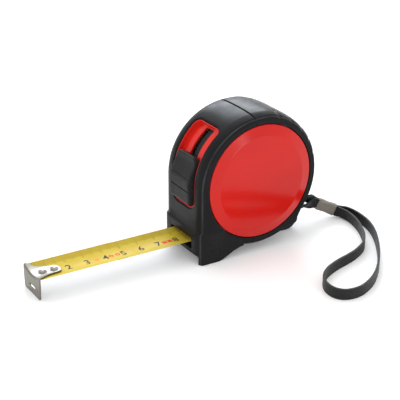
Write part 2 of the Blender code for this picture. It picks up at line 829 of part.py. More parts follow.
def make_power_spring(axis):
    """The flat spiral spring in the drum that winds the blade back."""
    body = bmesh.new()
    steps = SPRING_TURNS * 18
    start, end, thick = SPINDLE_R + 0.8, DRUM_R - 1.4 - 0.6, 0.3
    rings = []
    for i in range(steps + 1):
        angle = 2 * math.pi * SPRING_TURNS * i / steps
        radius = start + (end - start) * i / steps
        ring = []
        for r, y in ((radius, -9), (radius + thick, -9), (radius + thick, 9), (radius, 9)):
            ring.append(body.verts.new((r * math.cos(angle), y, REEL_Z + r * math.sin(angle))))
        rings.append(ring)
    for low, high in zip(rings, rings[1:]):
        for i in range(4):
            j = (i + 1) % 4
            body.faces.new((low[i], low[j], high[j], high[i]))
    body.faces.new(rings[0])
    body.faces.new(reversed(rings[-1]))
    add_piece("power_spring", body, SPRING, axis)


# ---------------------------------------------------------------- belt clip


def make_belt_clip():
    """A sprung steel plate on the far cover: a screwed pad, a step outwards and a lip at its end."""
    base = DISC_FACE + GAP
    stations = (
        (CLIP_TOP_Z, 0.0),
        (33.5, 0.0),
        (31.4, 0.7),
        (29.3, 2.6),
        (27.6, 4.5),
        (25.6, 5.0),
        (18.5, 4.6),
        (16.0, 4.6),
        (CLIP_BOTTOM_Z, 6.0),
    )
    body = bmesh.new()
    rings = []
    for z, out in stations:
        y = base + out
        half = CLIP_HALF - (1.5 if z in (CLIP_TOP_Z, CLIP_BOTTOM_Z) else 0.0)
        ring = ((-half, y), (half, y), (half, y + CLIP_THICK), (-half, y + CLIP_THICK))
        rings.append([body.verts.new((px, py, z)) for px, py in ring])
    for low, high in zip(rings, rings[1:]):
        for i in range(4):
            j = (i + 1) % 4
            body.faces.new((low[i], low[j], high[j], high[i]))
    body.faces.new(rings[0])
    body.faces.new(reversed(rings[-1]))
    piece = add_piece("belt_clip", body, STEEL)
    cut(piece, add_tool("cut_clip_hole", rod(1.9, 15, 30, 0, REEL_Z, 16)))


def make_clip_screw():
    head = DISC_FACE + GAP + CLIP_THICK + GAP
    profile = [(0, 6.0), (1.05, 6.0), (1.05, head), (3.2, head), (3.2, head + 0.7), (2.4, head + 1.4)]
    profile += [(0, head + 1.6)]
    piece = add_piece("clip_screw", turned(profile, 24), STEEL)
    bars = ((-1.7, 1.7, -0.35, 0.35), (-0.35, 0.35, -1.7, 1.7))
    for number, (x0, x1, z0, z1) in enumerate(bars, 1):
        bar = box(x0, x1, head + 0.8, head + 3, REEL_Z + z0, REEL_Z + z1)
        cut(piece, add_tool(f"cut_cross_{number}", bar))


# ---------------------------------------------------------------- strap


def make_ferrule():
    """The crimped metal tube that holds both ends of the webbing."""
    ahead = (FERRULE_END - FERRULE_START).normalized()
    up = Vector((0, 0, 1)) - ahead * ahead.z
    up.normalize()
    side = ahead.cross(up)
    half_up, half_side, edge = 3.3, 2.0, 0.8
    section = [
        (half_up - edge, half_side),
        (half_up, half_side - edge),
        (half_up, -half_side + edge),
        (half_up - edge, -half_side),
        (-half_up + edge, -half_side),
        (-half_up, -half_side + edge),
        (-half_up, half_side - edge),
        (-half_up + edge, half_side),
    ]
    body = bmesh.new()
    rings = []
    for point in (FERRULE_START, FERRULE_END):
        rings.append([body.verts.new(point + up * a + side * b) for a, b in section])
    for i in range(len(section)):
        j = (i + 1) % len(section)
        body.faces.new((rings[0][i], rings[0][j], rings[1][j], rings[1][i]))
    body.faces.new(rings[0])
    body.faces.new(reversed(rings[1]))
    add_piece("ferrule", body, STEEL)


def make_wrist_loop():
    ahead = (FERRULE_END - FERRULE_START).normalized()
    side = ahead.cross(Vector((0, 0, 1))).normalized()
    leave = FERRULE_END + ahead * GAP
    near, far = leave + side * STRAND_OFFSET, leave - side * STRAND_OFFSET
    inner, outer = sorted((near, far), key=lambda p: p.y)
    out_by = ahead * 1.5
    route = smooth_route([inner, inner + out_by, *LOOP_ROUTE, outer + out_by, outer], 3.0)
    add_piece("wrist_loop", ribbon(route, [Vector((0, 0, 1))] * len(route), ahead), WEBBING)


def make_strap_anchor():
    """The webbing's short loop from the ferrule round the pin, with a quarter twist each way."""
    ahead = (FERRULE_END - FERRULE_START).normalized()
    side = ahead.cross(Vector((0, 0, 1))).normalized()
    leave = FERRULE_START - ahead * GAP
    near, far = leave + side * STRAND_OFFSET, leave - side * STRAND_OFFSET
    lower, upper = sorted((near, far), key=lambda p: p.y)
    turn = PIN_R + GAP + STRAP_THICK / 2 + 0.1
    around = [
        (PIN_X + turn * math.cos(math.radians(a)), 0.0, PIN_Z + turn * math.sin(math.radians(a)))
        for a in range(-90, -271, -30)
    ]
    back_by = ahead * 1.6
    below = [lower, lower - back_by, (44.5, -0.4, 9.2), (41.0, -0.2, 9.5), (37.0, 0.0, 9.75)]
    above = [(37.0, 0.0, 15.2), (41.0, 0.2, 14.4), (44.5, 0.4, 12.6), upper - back_by, upper]
    route = smooth_route([*below, *around, *above], 2.0)
    widths = []
    for point in route:
        share = min(1.0, max(0.0, (point.x - 37.0) / (leave.x - 38.5)))
        turn_by = math.radians(90) * (1 - share * share * (3 - 2 * share))
        widths.append(Vector((0, -math.sin(turn_by), math.cos(turn_by))))
    add_piece("strap_anchor", ribbon(route, widths, -ahead), WEBBING)


def main():
    global datum
    clear_scene()
    datum = make_datum()
    tools = make_shared_tools()
    make_front_case(tools)
    make_rear_case(tools)
    make_strap_pin()
    make_shells()
    make_case_screws()
    make_disc("near_disc", -1)
    make_disc("far_disc", 1)
    make_lock_track()
    lock_axis = make_axis("lock_axis", 0, REEL_Z)
    make_lock_button(lock_axis)
    make_lock_arm(lock_axis)
    make_brake_shoe()
    make_blade()
    make_hook()
    make_rivets()
    make_spindle()
    reel_axis = make_axis("reel_axis", 0, REEL_Z)
    make_reel(reel_axis)
    make_power_spring(reel_axis)
    make_belt_clip()
    make_clip_screw()
    make_ferrule()
    make_wrist_loop()
    make_strap_anchor()


main()
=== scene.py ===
"""The looks of a pocket tape measure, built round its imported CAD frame.

Shapes are worked out in the case's own frame, in millimetres: X is 0 on the reel's axis and the
blade runs towards -X, Y is 0 on the middle plane, and Z is 0 on the surface the tape stands on.
TO_WORLD moves them to the frame's metres.
"""

import math

import bmesh
import bpy
from mathutils import Matrix, Vector


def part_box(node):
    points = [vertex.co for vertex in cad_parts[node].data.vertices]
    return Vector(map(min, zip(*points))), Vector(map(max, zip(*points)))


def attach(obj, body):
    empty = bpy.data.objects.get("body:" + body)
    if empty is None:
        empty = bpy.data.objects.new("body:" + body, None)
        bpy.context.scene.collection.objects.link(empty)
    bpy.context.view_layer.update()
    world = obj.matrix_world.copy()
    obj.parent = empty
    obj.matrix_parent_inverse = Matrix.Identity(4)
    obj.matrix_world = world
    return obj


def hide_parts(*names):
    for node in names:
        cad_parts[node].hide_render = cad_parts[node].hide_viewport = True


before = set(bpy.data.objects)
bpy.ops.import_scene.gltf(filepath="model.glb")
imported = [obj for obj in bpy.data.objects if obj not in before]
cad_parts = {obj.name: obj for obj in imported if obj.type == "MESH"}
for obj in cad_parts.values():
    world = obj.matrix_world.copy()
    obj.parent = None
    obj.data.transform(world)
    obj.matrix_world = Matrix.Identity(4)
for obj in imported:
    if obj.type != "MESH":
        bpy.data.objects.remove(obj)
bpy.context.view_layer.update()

MM = 0.001

# ---------------------------------------------------------------- datums from the frame

REEL = sum(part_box("near_disc"), Vector()) / 2
REEL_Z = REEL.z / MM
TO_WORLD = Matrix.Translation((REEL.x, 0, 0)) @ Matrix.Scale(MM, 4)

BAND_R = 35.3
SEAM_X = -3.7
SEAM_GAP = 0.3
CASE_HALF = 18.0
SHOULDER_Y = 16.9
CAVITY_R = 33.1
CAVITY_HALF = 15.6
FLOOR_Z = 7.4
CHANNEL_X = 14.5
DISC_HOLE_R = 30.6
HEEL_X, HEEL_Z, HEEL_R = 21.3, 12.9, 4.2

NOSE_X = -36.3
NOSE_TOP = 16.5
LEG_END_X = -24.4
ARCH_END_X = -8.5
LEG_INNER = 16.0
LIP_Z = 4.8

FOOT_HALF = 5.2
SLOT_HALF = 3.3
PIN_X, PIN_Z, PIN_R = 30.6, 12.4, 1.8

WINDOW_BOTTOM_Z = 27.7
WINDOW_LENGTH = 46.0
WINDOW_HALF = 10.9
TRACK_FLOOR_R = 32.2
LOCK_HALF = 9.2
LOCK_START = 2.1
LOCK_LENGTH = 25.3

BLADE_HALF = 9.5
BLADE_EDGE_Z = 11.4
BLADE_SAG = 2.4
BLADE_THICK = 0.13
ROOT_DROP = BLADE_THICK + 0.05
PRINT_Y = -0.1
STRIP_JOIN_X = -71.3
REAR_STRIP = (-77.3, -28.8)
HOOK_X = -119.2
HOOK_THICK = 0.8
HOOK_RISE = 0.25
RIVETS_X = (-113.4, -107.3)

STRAP_WIDTH = 5.6
STRAP_THICK = 1.2
STRAND_OFFSET = 0.9
STRAP_GAP = 0.3
ROUTE_STEP = 0.425
FERRULE_START = Vector((50.2, 0.0, 8.4))
FERRULE_END = Vector((58.8, -4.6, 4.3))
FERRULE_AHEAD = (FERRULE_END - FERRULE_START).normalized()
FERRULE_SIDE = FERRULE_AHEAD.cross(Vector((0, 0, 1))).normalized()
LOOP_ROUTE = (
    (60.6, -8.4, 3.6), (61.5, -13.5, 3.2), (60.6, -19.9, 3.1), (58.5, -26.7, 3.0),
    (55.3, -33.4, 3.0), (51.5, -39.8, 3.0), (45.6, -46.2, 3.0), (37.6, -50.8, 3.0),
    (30.5, -53.3, 3.0), (23.9, -55.1, 3.0), (18.5, -57.0, 3.0), (12.6, -59.8, 3.0),
    (6.6, -64.6, 3.0), (3.0, -71.6, 3.0), (3.2, -78.4, 3.0), (7.4, -82.6, 3.0), (15.8, -82.8, 3.0),
    (26.4, -77.8, 3.0), (36.2, -69.6, 3.0), (45.9, -58.7, 3.0), (54.6, -46.7, 3.0),
    (60.6, -36.5, 3.0), (64.4, -26.8, 3.0), (65.8, -16.6, 3.1), (64.4, -9.0, 3.5),
)


# ---------------------------------------------------------------- materials


class Finish:
    """A Principled material and short ways to feed it from procedural nodes."""

    def __init__(self, name, roughness, metallic=0.0, level=0.5, ior=1.5):
        self.material = bpy.data.materials.new(name)
        self.material.use_nodes = True
        self.tree = self.material.node_tree
        self.shader = self.tree.nodes["Principled BSDF"]
        self.shader.inputs["Roughness"].default_value = roughness
        self.shader.inputs["Metallic"].default_value = metallic
        self.shader.inputs["Specular IOR Level"].default_value = level
        self.shader.inputs["IOR"].default_value = ior
        self.place = self.add("ShaderNodeTexCoord").outputs["Object"]

    def add(self, kind, **settings):
        node = self.tree.nodes.new(kind)
        for key, value in settings.items():
            setattr(node, key, value)
        return node

    def feed(self, socket, value):
        if isinstance(value, bpy.types.NodeSocket):
            self.tree.links.new(value, socket)
        elif isinstance(value, tuple) and len(value) == 3 and socket.type == "RGBA":
            socket.default_value = (*value, 1.0)
        else:
            socket.default_value = value

    def math(self, operation, a, b=0.0, c=0.0):
        node = self.add("ShaderNodeMath", operation=operation)
        for socket, value in zip(node.inputs, (a, b, c)):
            self.feed(socket, value)
        return node.outputs[0]

    def stretched(self, scale):
        """Object coordinates with each axis scaled, for brushed and woven patterns."""
        node = self.add("ShaderNodeMapping")
        self.feed(node.inputs["Vector"], self.place)
        node.inputs["Scale"].default_value = scale
        return node.outputs[0]

    def axis(self, vector, index):
        node = self.add("ShaderNodeSeparateXYZ")
        self.feed(node.inputs[0], vector)
        return node.outputs[index]

    def geometry(self, output):
        return self.add("ShaderNodeNewGeometry").outputs[output]

    def noise(self, scale, detail=3.0, place=None, roughness=0.55):
        node = self.add("ShaderNodeTexNoise")
        self.feed(node.inputs["Vector"], place or self.place)
        node.inputs["Scale"].default_value = scale
        node.inputs["Detail"].default_value = detail
        node.inputs["Roughness"].default_value = roughness
        return node.outputs["Fac"]

    def cells(self, scale):
        node = self.add("ShaderNodeTexVoronoi")
        self.feed(node.inputs["Vector"], self.place)
        node.inputs["Scale"].default_value = scale
        return node.outputs["Distance"]

    def spread(self, value, low, high, out_low, out_high):
        node = self.add("ShaderNodeMapRange")
        for socket, item in zip(node.inputs, (value, low, high, out_low, out_high)):
            self.feed(socket, item)
        return node.outputs[0]

    def mix(self, share, first, second):
        node = self.add("ShaderNodeMix", data_type="RGBA")
        self.feed(node.inputs["Factor"], share)
        self.feed(node.inputs[6], first)
        self.feed(node.inputs[7], second)
        return node.outputs[2]

    def colour(self, value):
        self.feed(self.shader.inputs["Base Color"], value)

    def roughness(self, value):
        self.feed(self.shader.inputs["Roughness"], value)

    def bump(self, height, depth_mm, strength=1.0):
        node = self.add("ShaderNodeBump")
        node.inputs["Strength"].default_value = strength
        node.inputs["Distance"].default_value = depth_mm * MM
        self.feed(node.inputs["Height"], height)
        self.feed(self.shader.inputs["Normal"], node.outputs["Normal"])

    def edge_wear(self, low, high):
        """0 on flat and hollow places, 1 on sharp outer edges, broken up by noise."""
        edges = self.spread(self.geometry("Pointiness"), low, high, 0.0, 1.0)
        broken = self.spread(self.noise(900, 4), 0.42, 0.62, 0.25, 1.0)
        return self.math("MULTIPLY", edges, broken)


def make_black_abs():
    """Satin black moulded plastic, spark-eroded, with a painted highlight line along the edges of its
    shoulders.
    """
    f = Finish("black_abs_moulded", 0.34, level=0.08)
    cloud = f.noise(60, 4)
    wear = f.edge_wear(0.515, 0.58)
    cloudy = f.spread(cloud, 0.3, 0.7, 0.0, 1.0)
    base = f.mix(cloudy, (0.0085, 0.0088, 0.0096), (0.0125, 0.0128, 0.0138))
    # Painted highlight: a lighter line along both shoulders of the case, at half width SHOULDER_Y, broken
    # up by noise.
    from_middle = f.math("ABSOLUTE", f.axis(f.place, 1))
    off_shoulder = f.math("ABSOLUTE", f.math("SUBTRACT", from_middle, SHOULDER_Y * MM))
    shoulder_highlight = f.spread(off_shoulder, 0.1 * MM, 0.55 * MM, 1.0, 0.0)
    shoulder_highlight = f.math("MULTIPLY", shoulder_highlight, f.spread(f.noise(70, 5), 0.35, 0.65, 0.25, 1.0))
    base = f.mix(shoulder_highlight, base, (0.05, 0.05, 0.052))
    f.colour(f.mix(wear, base, (0.017, 0.017, 0.018)))
    grain = f.noise(4200, 2)
    f.roughness(f.spread(f.noise(240, 5), 0.3, 0.7, 0.27, 0.38))
    f.bump(f.math("ADD", grain, f.math("MULTIPLY", f.noise(900, 3), 0.6)), 0.012, 0.55)
    return f.material


def make_soft_black():
    """The thumb slide's rubbery black: a little lighter and duller than the case."""
    f = Finish("black_lock_rubber", 0.5, level=0.1)
    wear = f.edge_wear(0.51, 0.56)
    base = f.mix(f.noise(150, 4), (0.013, 0.013, 0.0135), (0.02, 0.02, 0.0205))
    f.colour(f.mix(wear, base, (0.028, 0.028, 0.029)))
    f.roughness(f.spread(f.noise(500, 4), 0.3, 0.7, 0.38, 0.55))
    f.bump(f.noise(3600, 2), 0.014, 0.6)
    return f.material


def make_red_abs(name, shade, coat):
    """Glossy red moulded plastic with a faint flow pattern and hairline scratches."""
    f = Finish(name, 0.2, level=0.22)
    f.shader.inputs["Coat Weight"].default_value = coat
    f.shader.inputs["Coat Roughness"].default_value = 0.08
    f.shader.inputs["Coat IOR"].default_value = 1.25
    flow = f.noise(18, 5, f.stretched((1.0, 1.0, 2.2)))
    deep = tuple(c * 0.9 for c in shade)
    f.colour(f.mix(f.spread(flow, 0.35, 0.65, 0.0, 1.0), deep, shade))
    scratches = f.noise(260, 8, f.stretched((0.4, 1.0, 9.0)), 0.7)
    f.roughness(f.spread(scratches, 0.45, 0.75, 0.14, 0.24))
    ripple = f.math("ADD", f.noise(110, 2), f.math("MULTIPLY", f.noise(2600, 2), 0.12))
    f.bump(ripple, 0.02, 0.3)
    return f.material


def make_nickel():
    """Nickel-plated steel, brushed along the blade, dulled by dirt, and painted lighter on its upward faces
    as a highlight.
    """
    f = Finish("nickel_steel_brushed", 0.3, metallic=1.0)
    f.shader.inputs["Anisotropic"].default_value = 0.35
    brushed = f.noise(700, 5, f.stretched((0.12, 1.0, 1.0)), 0.65)
    dirt = f.noise(160, 6)
    clean = f.mix(brushed, (0.145, 0.132, 0.11), (0.225, 0.208, 0.176))
    # Painted highlight: faces turned upwards get a lighter metal colour, standing in for the light from
    # above.
    painted_top_highlight = f.spread(f.axis(f.geometry("Normal"), 2), 0.7, 0.97, 0.0, 0.85)
    clean = f.mix(painted_top_highlight, clean, f.mix(brushed, (0.27, 0.258, 0.23), (0.42, 0.405, 0.37)))
    f.colour(f.mix(f.spread(dirt, 0.45, 0.8, 0.0, 0.35), clean, (0.09, 0.08, 0.065)))
    f.roughness(f.spread(brushed, 0.25, 0.75, 0.24, 0.4))
    f.bump(brushed, 0.006, 0.5)
    return f.material


def make_polished():
    """The bright rivets and screws: the same plating, mottled, and darker in the hollows."""
    f = Finish("nickel_polished", 0.16, metallic=1.0)
    mottled = f.noise(420, 5)
    bright = f.mix(f.spread(mottled, 0.35, 0.7, 0.0, 1.0), (0.42, 0.4, 0.37), (0.26, 0.245, 0.22))
    # The colour is darker where pointiness is low, in the grooves and hollows.
    hollows = f.spread(f.geometry("Pointiness"), 0.44, 0.5, 1.0, 0.0)
    f.colour(f.mix(hollows, bright, (0.03, 0.027, 0.024)))
    f.roughness(f.spread(mottled, 0.3, 0.7, 0.12, 0.26))
    f.bump(f.noise(1500, 3), 0.004, 0.4)
    return f.material


def lacquer(name, marked):
    """Yellow lacquer on steel. The marked one has ticks along its far edge and a grey underside."""
    f = Finish(name, 0.5, level=0.07)
    worn = f.noise(130, 6)
    body = f.mix(f.spread(worn, 0.35, 0.7, 0.0, 1.0), (0.62, 0.465, 0.05), (0.56, 0.41, 0.038))
    rub = f.spread(f.noise(620, 6, f.stretched((0.25, 1.0, 1.0)), 0.7), 0.58, 0.72, 0.0, 0.3)
    body = f.mix(rub, body, (0.56, 0.4, 0.08))
    if marked:
        from_reel = f.math("MULTIPLY", f.axis(f.place, 0), 1 / MM)
        along = f.math("SUBTRACT", from_reel, HOOK_X + REEL.x / MM)
        across = f.math("MULTIPLY", f.axis(f.place, 1), 1 / MM)
        ticks = None
        for pitch, reach, width in ((1.0, 3.5, 0.11), (5.0, 4.2, 0.14), (10.0, 4.9, 0.15)):
            near = f.math("LESS_THAN", f.math("PINGPONG", along, pitch / 2), width)
            inside = f.math("GREATER_THAN", across, BLADE_HALF - reach)
            one = f.math("MULTIPLY", near, inside)
            ticks = one if ticks is None else f.math("MAXIMUM", ticks, one)
        fade = f.spread(f.noise(2200, 2), 0.25, 0.5, 0.55, 1.0)
        body = f.mix(f.math("MULTIPLY", ticks, fade), body, (0.03, 0.027, 0.02))
        beneath = f.math("LESS_THAN", f.axis(f.geometry("True Normal"), 2), -0.2)
        body = f.mix(beneath, body, f.mix(worn, (0.3, 0.3, 0.29), (0.4, 0.4, 0.39)))
    f.colour(body)
    f.roughness(f.spread(worn, 0.3, 0.7, 0.36, 0.5))
    f.bump(f.math("ADD", f.noise(420, 4), f.math("MULTIPLY", f.noise(3000, 2), 0.3)), 0.008, 0.4)
    return f.material


def make_print(name, shade):
    """Printing ink, slightly broken where the lacquer is worn."""
    f = Finish(name, 0.5, level=0.05)
    f.colour(f.mix(f.spread(f.noise(1400, 4), 0.5, 0.75, 0.0, 0.3), shade, (0.5, 0.36, 0.05)))
    f.roughness(f.spread(f.noise(600, 3), 0.3, 0.7, 0.4, 0.55))
    return f.material


def make_webbing():
    """Black polyester webbing: a fine diagonal weave of slightly shiny yarns."""
    f = Finish("black_webbing_weave", 0.62, level=0.3)
    f.shader.inputs["Sheen Weight"].default_value = 0.12
    f.shader.inputs["Sheen Roughness"].default_value = 0.4
    yarn = f.cells(1500)
    fluff = f.noise(1900, 4)
    f.colour(f.mix(f.spread(yarn, 0.1, 0.6, 0.0, 1.0), (0.014, 0.014, 0.0155), (0.006, 0.006, 0.0066)))
    f.roughness(f.spread(fluff, 0.3, 0.7, 0.5, 0.75))
    f.bump(f.math("ADD", f.math("MULTIPLY", yarn, -1.0), f.math("MULTIPLY", fluff, 0.5)), 0.08, 0.7)
    return f.material


def make_nylon():
    """Natural nylon of the reel and its washers, milky, with a faint moulding texture."""
    f = Finish("natural_nylon", 0.45)
    f.shader.inputs["Subsurface Weight"].default_value = 0.1
    f.colour(f.mix(f.noise(80, 4), (0.66, 0.65, 0.6), (0.78, 0.77, 0.73)))
    f.roughness(f.spread(f.noise(300, 4), 0.3, 0.7, 0.36, 0.52))
    f.bump(f.noise(1500, 3), 0.01, 0.4)
    return f.material


def make_spring_steel():
    """Blued spring steel with drawn lines along the strip."""
    f = Finish("blued_spring_steel", 0.3, metallic=1.0)
    drawn = f.noise(500, 5, f.stretched((1.0, 8.0, 1.0)), 0.65)
    f.colour(f.mix(drawn, (0.12, 0.13, 0.16), (0.26, 0.27, 0.3)))
    f.roughness(f.spread(drawn, 0.3, 0.7, 0.22, 0.4))
    f.bump(drawn, 0.006, 0.4)
    return f.material


BLACK = make_black_abs()
SOFT_BLACK = make_soft_black()
RED = make_red_abs("red_abs_gloss", (0.56, 0.01, 0.006), 0.25)
TRACK_RED = make_red_abs("red_abs_track", (0.68, 0.016, 0.01), 0.15)
STEEL = make_nickel()
POLISHED = make_polished()
MARKED_YELLOW = lacquer("yellow_blade_marked", True)
PLAIN_YELLOW = lacquer("yellow_blade_plain", False)
INK = make_print("print_black", (0.03, 0.025, 0.016))
RED_INK = make_print("print_red", (0.7, 0.06, 0.008))
PALE_INK = make_print("print_orange", (0.84, 0.3, 0.03))
WEBBING = make_webbing()
NYLON = make_nylon()
SPRING = make_spring_steel()


# ---------------------------------------------------------------- mesh helpers


def arc(cx, cz, radius, start, end, count):
    """count + 1 points on a circle in the XZ plane, angles in degrees from +X towards +Z."""
    angles = [math.radians(start + (end - start) * i / count) for i in range(count + 1)]
    return [(cx + radius * math.cos(a), cz + radius * math.sin(a)) for a in angles]


def bezier(p0, p1, p2, p3, count):
    points = []
    for i in range(count + 1):
        t = i / count
        weights = ((1 - t) ** 3, 3 * t * (1 - t) ** 2, 3 * t * t * (1 - t), t**3)
        x = sum(w * p[0] for w, p in zip(weights, (p0, p1, p2, p3)))
        z = sum(w * p[1] for w, p in zip(weights, (p0, p1, p2, p3)))
        points.append((x, z))
    return points


def smoothstep(share):
    share = min(1.0, max(0.0, share))
    return share * share * (3 - 2 * share)


def between(value, knots):
    """Straight-line interpolation through (value, result) knots."""
    if value <= knots[0][0]:
        return knots[0][1]
    for (a, low), (b, high) in zip(knots, knots[1:]):
        if value <= b:
            return low + (high - low) * (value - a) / (b - a)
    return knots[-1][1]


def skin(rings, capped=True):
    """A bmesh over closed rings of equally many points."""
    body = bmesh.new()
    made = [[body.verts.new(p) for p in ring] for ring in rings]
    for low, high in zip(made, made[1:]):
        for i in range(len(low)):
            j = (i + 1) % len(low)
            body.faces.new((low[i], low[j], high[j], high[i]))
    if capped:
        body.faces.new(made[0])
        body.faces.new(reversed(made[-1]))
    return body


def loft_outlines(levels):
    """A closed body through XZ outlines of equal length, each at its own Y."""
    return skin([[(x, y, z) for x, z in outline] for y, outline in levels])


def prism(outline, y0, y1):
    return loft_outlines([(y0, outline), (y1, outline)])


def box(x0, x1, y0, y1, z0, z1):
    return prism([(x0, z0), (x1, z0), (x1, z1), (x0, z1)], y0, y1)


def turned(profile, steps, cx=0.0, cz=None):
    """A body turned about the line along Y through (cx, cz), from a closed (radius, y) profile."""
    cz = REEL_Z if cz is None else cz
    body = bmesh.new()
    rings = []
    for i in range(steps):
        a = 2 * math.pi * i / steps
        rings.append([body.verts.new((cx + r * math.cos(a), y, cz + r * math.sin(a))) for r, y in profile])
    for i in range(steps):
        near, far = rings[i], rings[(i + 1) % steps]
        for j in range(len(profile)):
            k = (j + 1) % len(profile)
            corners = []
            for vertex in (near[j], far[j], far[k], near[k]):
                if all((vertex.co - seen.co).length > 1e-6 for seen in corners):
                    corners.append(vertex)
            if len(corners) > 2:
                body.faces.new(corners)
    bmesh.ops.remove_doubles(body, verts=body.verts, dist=1e-5)
    return body


def rounded(profile, radius, steps=4):
    """A closed 2D profile with every corner replaced by a small arc-like curve."""
    result = []
    count = len(profile)
    for i, corner in enumerate(profile):
        here = Vector(corner)
        before = Vector(profile[i - 1]) - here
        after = Vector(profile[(i + 1) % count]) - here
        on_axis = abs(corner[0]) < 1e-9
        reach = min(radius, before.length * 0.45, after.length * 0.45)
        if on_axis or reach < 1e-4:
            result.append(tuple(corner))
            continue
        start = here + before.normalized() * reach
        end = here + after.normalized() * reach
        for k in range(steps + 1):
            t = k / steps
            result.append(tuple(start * (1 - t) ** 2 + here * 2 * t * (1 - t) + end * t * t))
    return result


def as_object(body, name="step"):
    bmesh.ops.remove_doubles(body, verts=body.verts, dist=1e-5)
    bmesh.ops.recalc_face_normals(body, faces=body.faces)
    mesh = bpy.data.meshes.new(name)
    body.to_mesh(mesh)
    body.free()
    made = bpy.data.objects.new(name, mesh)
    bpy.context.scene.collection.objects.link(made)
    return made


def combined(body, *steps, solver="EXACT"):
    """The body after Booleans, each step being ("DIFFERENCE" or "UNION", other body)."""
    bmesh.ops.triangulate(body, faces=body.faces)
    base = as_object(body)
    tools = []
    for operation, other in steps:
        bmesh.ops.triangulate(other, faces=other.faces)
        tool = as_object(other)
        tools.append(tool)
        modifier = base.modifiers.new("combine", "BOOLEAN")
        modifier.operation = operation
        modifier.object = tool
        modifier.solver = solver
    bpy.context.view_layer.update()
    evaluated = base.evaluated_get(bpy.context.evaluated_depsgraph_get())
    result = bmesh.new()
    result.from_mesh(evaluated.data)
    for item in [base, *tools]:
        data = item.data
        bpy.data.objects.remove(item, do_unlink=True)
        bpy.data.meshes.remove(data)
    return result


def add_piece(name, body, material, rides_on, stands_for=(), sharp=32.0, weighted=True):
    """Turns a body in case millimetres into a visible piece on one of the frame's bodies."""
    piece = as_object(body, name)
    piece.data.transform(TO_WORLD)
    piece.data.materials.append(material)
    piece.data.shade_smooth()
    piece.data.set_sharp_from_angle(angle=math.radians(sharp))
    if weighted:
        normals = piece.modifiers.new("face_weighted_normals", "WEIGHTED_NORMAL")
        normals.keep_sharp = True
    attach(piece, rides_on)
    if stands_for:
        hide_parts(*stands_for)
    return piece


def add_bevel(piece, width, segments=2, angle=35.0):
    """Rounds a piece's own sharp edges before its weighted normals are worked out."""
    step = piece.modifiers.new("edge_rounding", "BEVEL")
    step.width = width * MM
    step.segments = segments
    step.limit_method = "ANGLE"
    step.angle_limit = math.radians(angle)
    step.use_clamp_overlap = False
    piece.modifiers.move(len(piece.modifiers) - 1, 0)


# ---------------------------------------------------------------- camera, light and floor

CAMERA_PLACE = Vector((-304.7, -457.9, 270.1))
CAMERA_HEADING = math.radians(-31.42)
CAMERA_TILT = math.radians(65.68)
CAMERA_ROLL = math.radians(0.33)
CAMERA_LENS = 103.9


def make_camera():
    data = bpy.data.cameras.new("camera")
    data.lens = CAMERA_LENS
    data.sensor_width = 36.0
    data.clip_start = 0.01
    camera = bpy.data.objects.new("camera", data)
    turn = Matrix.Rotation(CAMERA_HEADING, 4, "Z") @ Matrix.Rotation(CAMERA_TILT, 4, "X")
    turn = turn @ Matrix.Rotation(CAMERA_ROLL, 4, "Z")
    camera.matrix_world = Matrix.Translation(TO_WORLD @ CAMERA_PLACE) @ turn
    bpy.context.scene.collection.objects.link(camera)
    bpy.context.scene.camera = camera


def make_softbox(name, place, target, width, height, power, colour=(1, 1, 1)):
    data = bpy.data.lights.new(name, "AREA")
    data.shape = "RECTANGLE"
    data.size = width
    data.size_y = height
    data.energy = power
    data.color = colour
    lamp = bpy.data.objects.new(name, data)
    lamp.location = place
    lamp.rotation_euler = (Vector(target) - Vector(place)).to_track_quat("-Z", "Y").to_euler()
    bpy.context.scene.collection.objects.link(lamp)


def make_stage():
    world = bpy.data.worlds.new("studio")
    world.use_nodes = True
    sky = world.node_tree.nodes["Background"]
    sky.inputs["Color"].default_value = (1.0, 1.0, 1.0, 1.0)
    sky.inputs["Strength"].default_value = 1.08
    scene = bpy.context.scene
    scene.world = world
    scene.view_settings.view_transform = "Standard"
    make_softbox("overhead_softbox", (-0.1, 0.45, 0.9), (-0.02, 0.0, 0.0), 0.9, 0.7, 1.6)
    make_softbox("back_softbox", (0.37, 0.8, 0.57), (-0.02, 0.0, 0.06), 0.54, 0.5, 6.8, (0.86, 0.93, 1.0))
    make_softbox("front_softbox", (0.15, -1.15, 0.16), (0.0, 0.0, 0.04), 0.5, 0.2, 1.1)

    bpy.ops.mesh.primitive_grid_add(x_subdivisions=8, y_subdivisions=8, size=6.0)
    floor = bpy.context.object
    floor.name = "floor"
    f = Finish("floor_paper", 0.9, level=0.1)
    f.colour(f.mix(f.noise(3, 2), (0.9, 0.9, 0.897), (0.93, 0.93, 0.927)))
    f.shader.inputs["Emission Color"].default_value = (1.0, 1.0, 1.0, 1.0)
    f.shader.inputs["Emission Strength"].default_value = 0.13
    floor.data.materials.append(f.material)


# ---------------------------------------------------------------- wrist strap


def smooth_route(points, step):
    """Points along a Catmull-Rom curve through the given ones, about step apart."""
    points = [Vector(p) for p in points]
    padded = [2 * points[0] - points[1], *points, 2 * points[-1] - points[-2]]
    dense = []
    for a, b, c, d in zip(padded, padded[1:], padded[2:], padded[3:]):
        for i in range(24):
            t = i / 24
            near = 2 * b + (c - a) * t
            far = (2 * a - 5 * b + 4 * c - d) * t * t + (3 * b - a - 3 * c + d) * t**3
            dense.append(0.5 * (near + far))
    dense.append(points[-1])
    lengths = [0.0]
    for a, b in zip(dense, dense[1:]):
        lengths.append(lengths[-1] + (b - a).length)
    count = max(2, round(lengths[-1] / step))
    route = []
    at = 0
    for i in range(count + 1):
        wanted = lengths[-1] * i / count
        while at < len(dense) - 2 and lengths[at + 1] < wanted:
            at += 1
        share = (wanted - lengths[at]) / max(lengths[at + 1] - lengths[at], 1e-9)
        route.append(dense[at].lerp(dense[at + 1], min(1.0, share)))
    return route


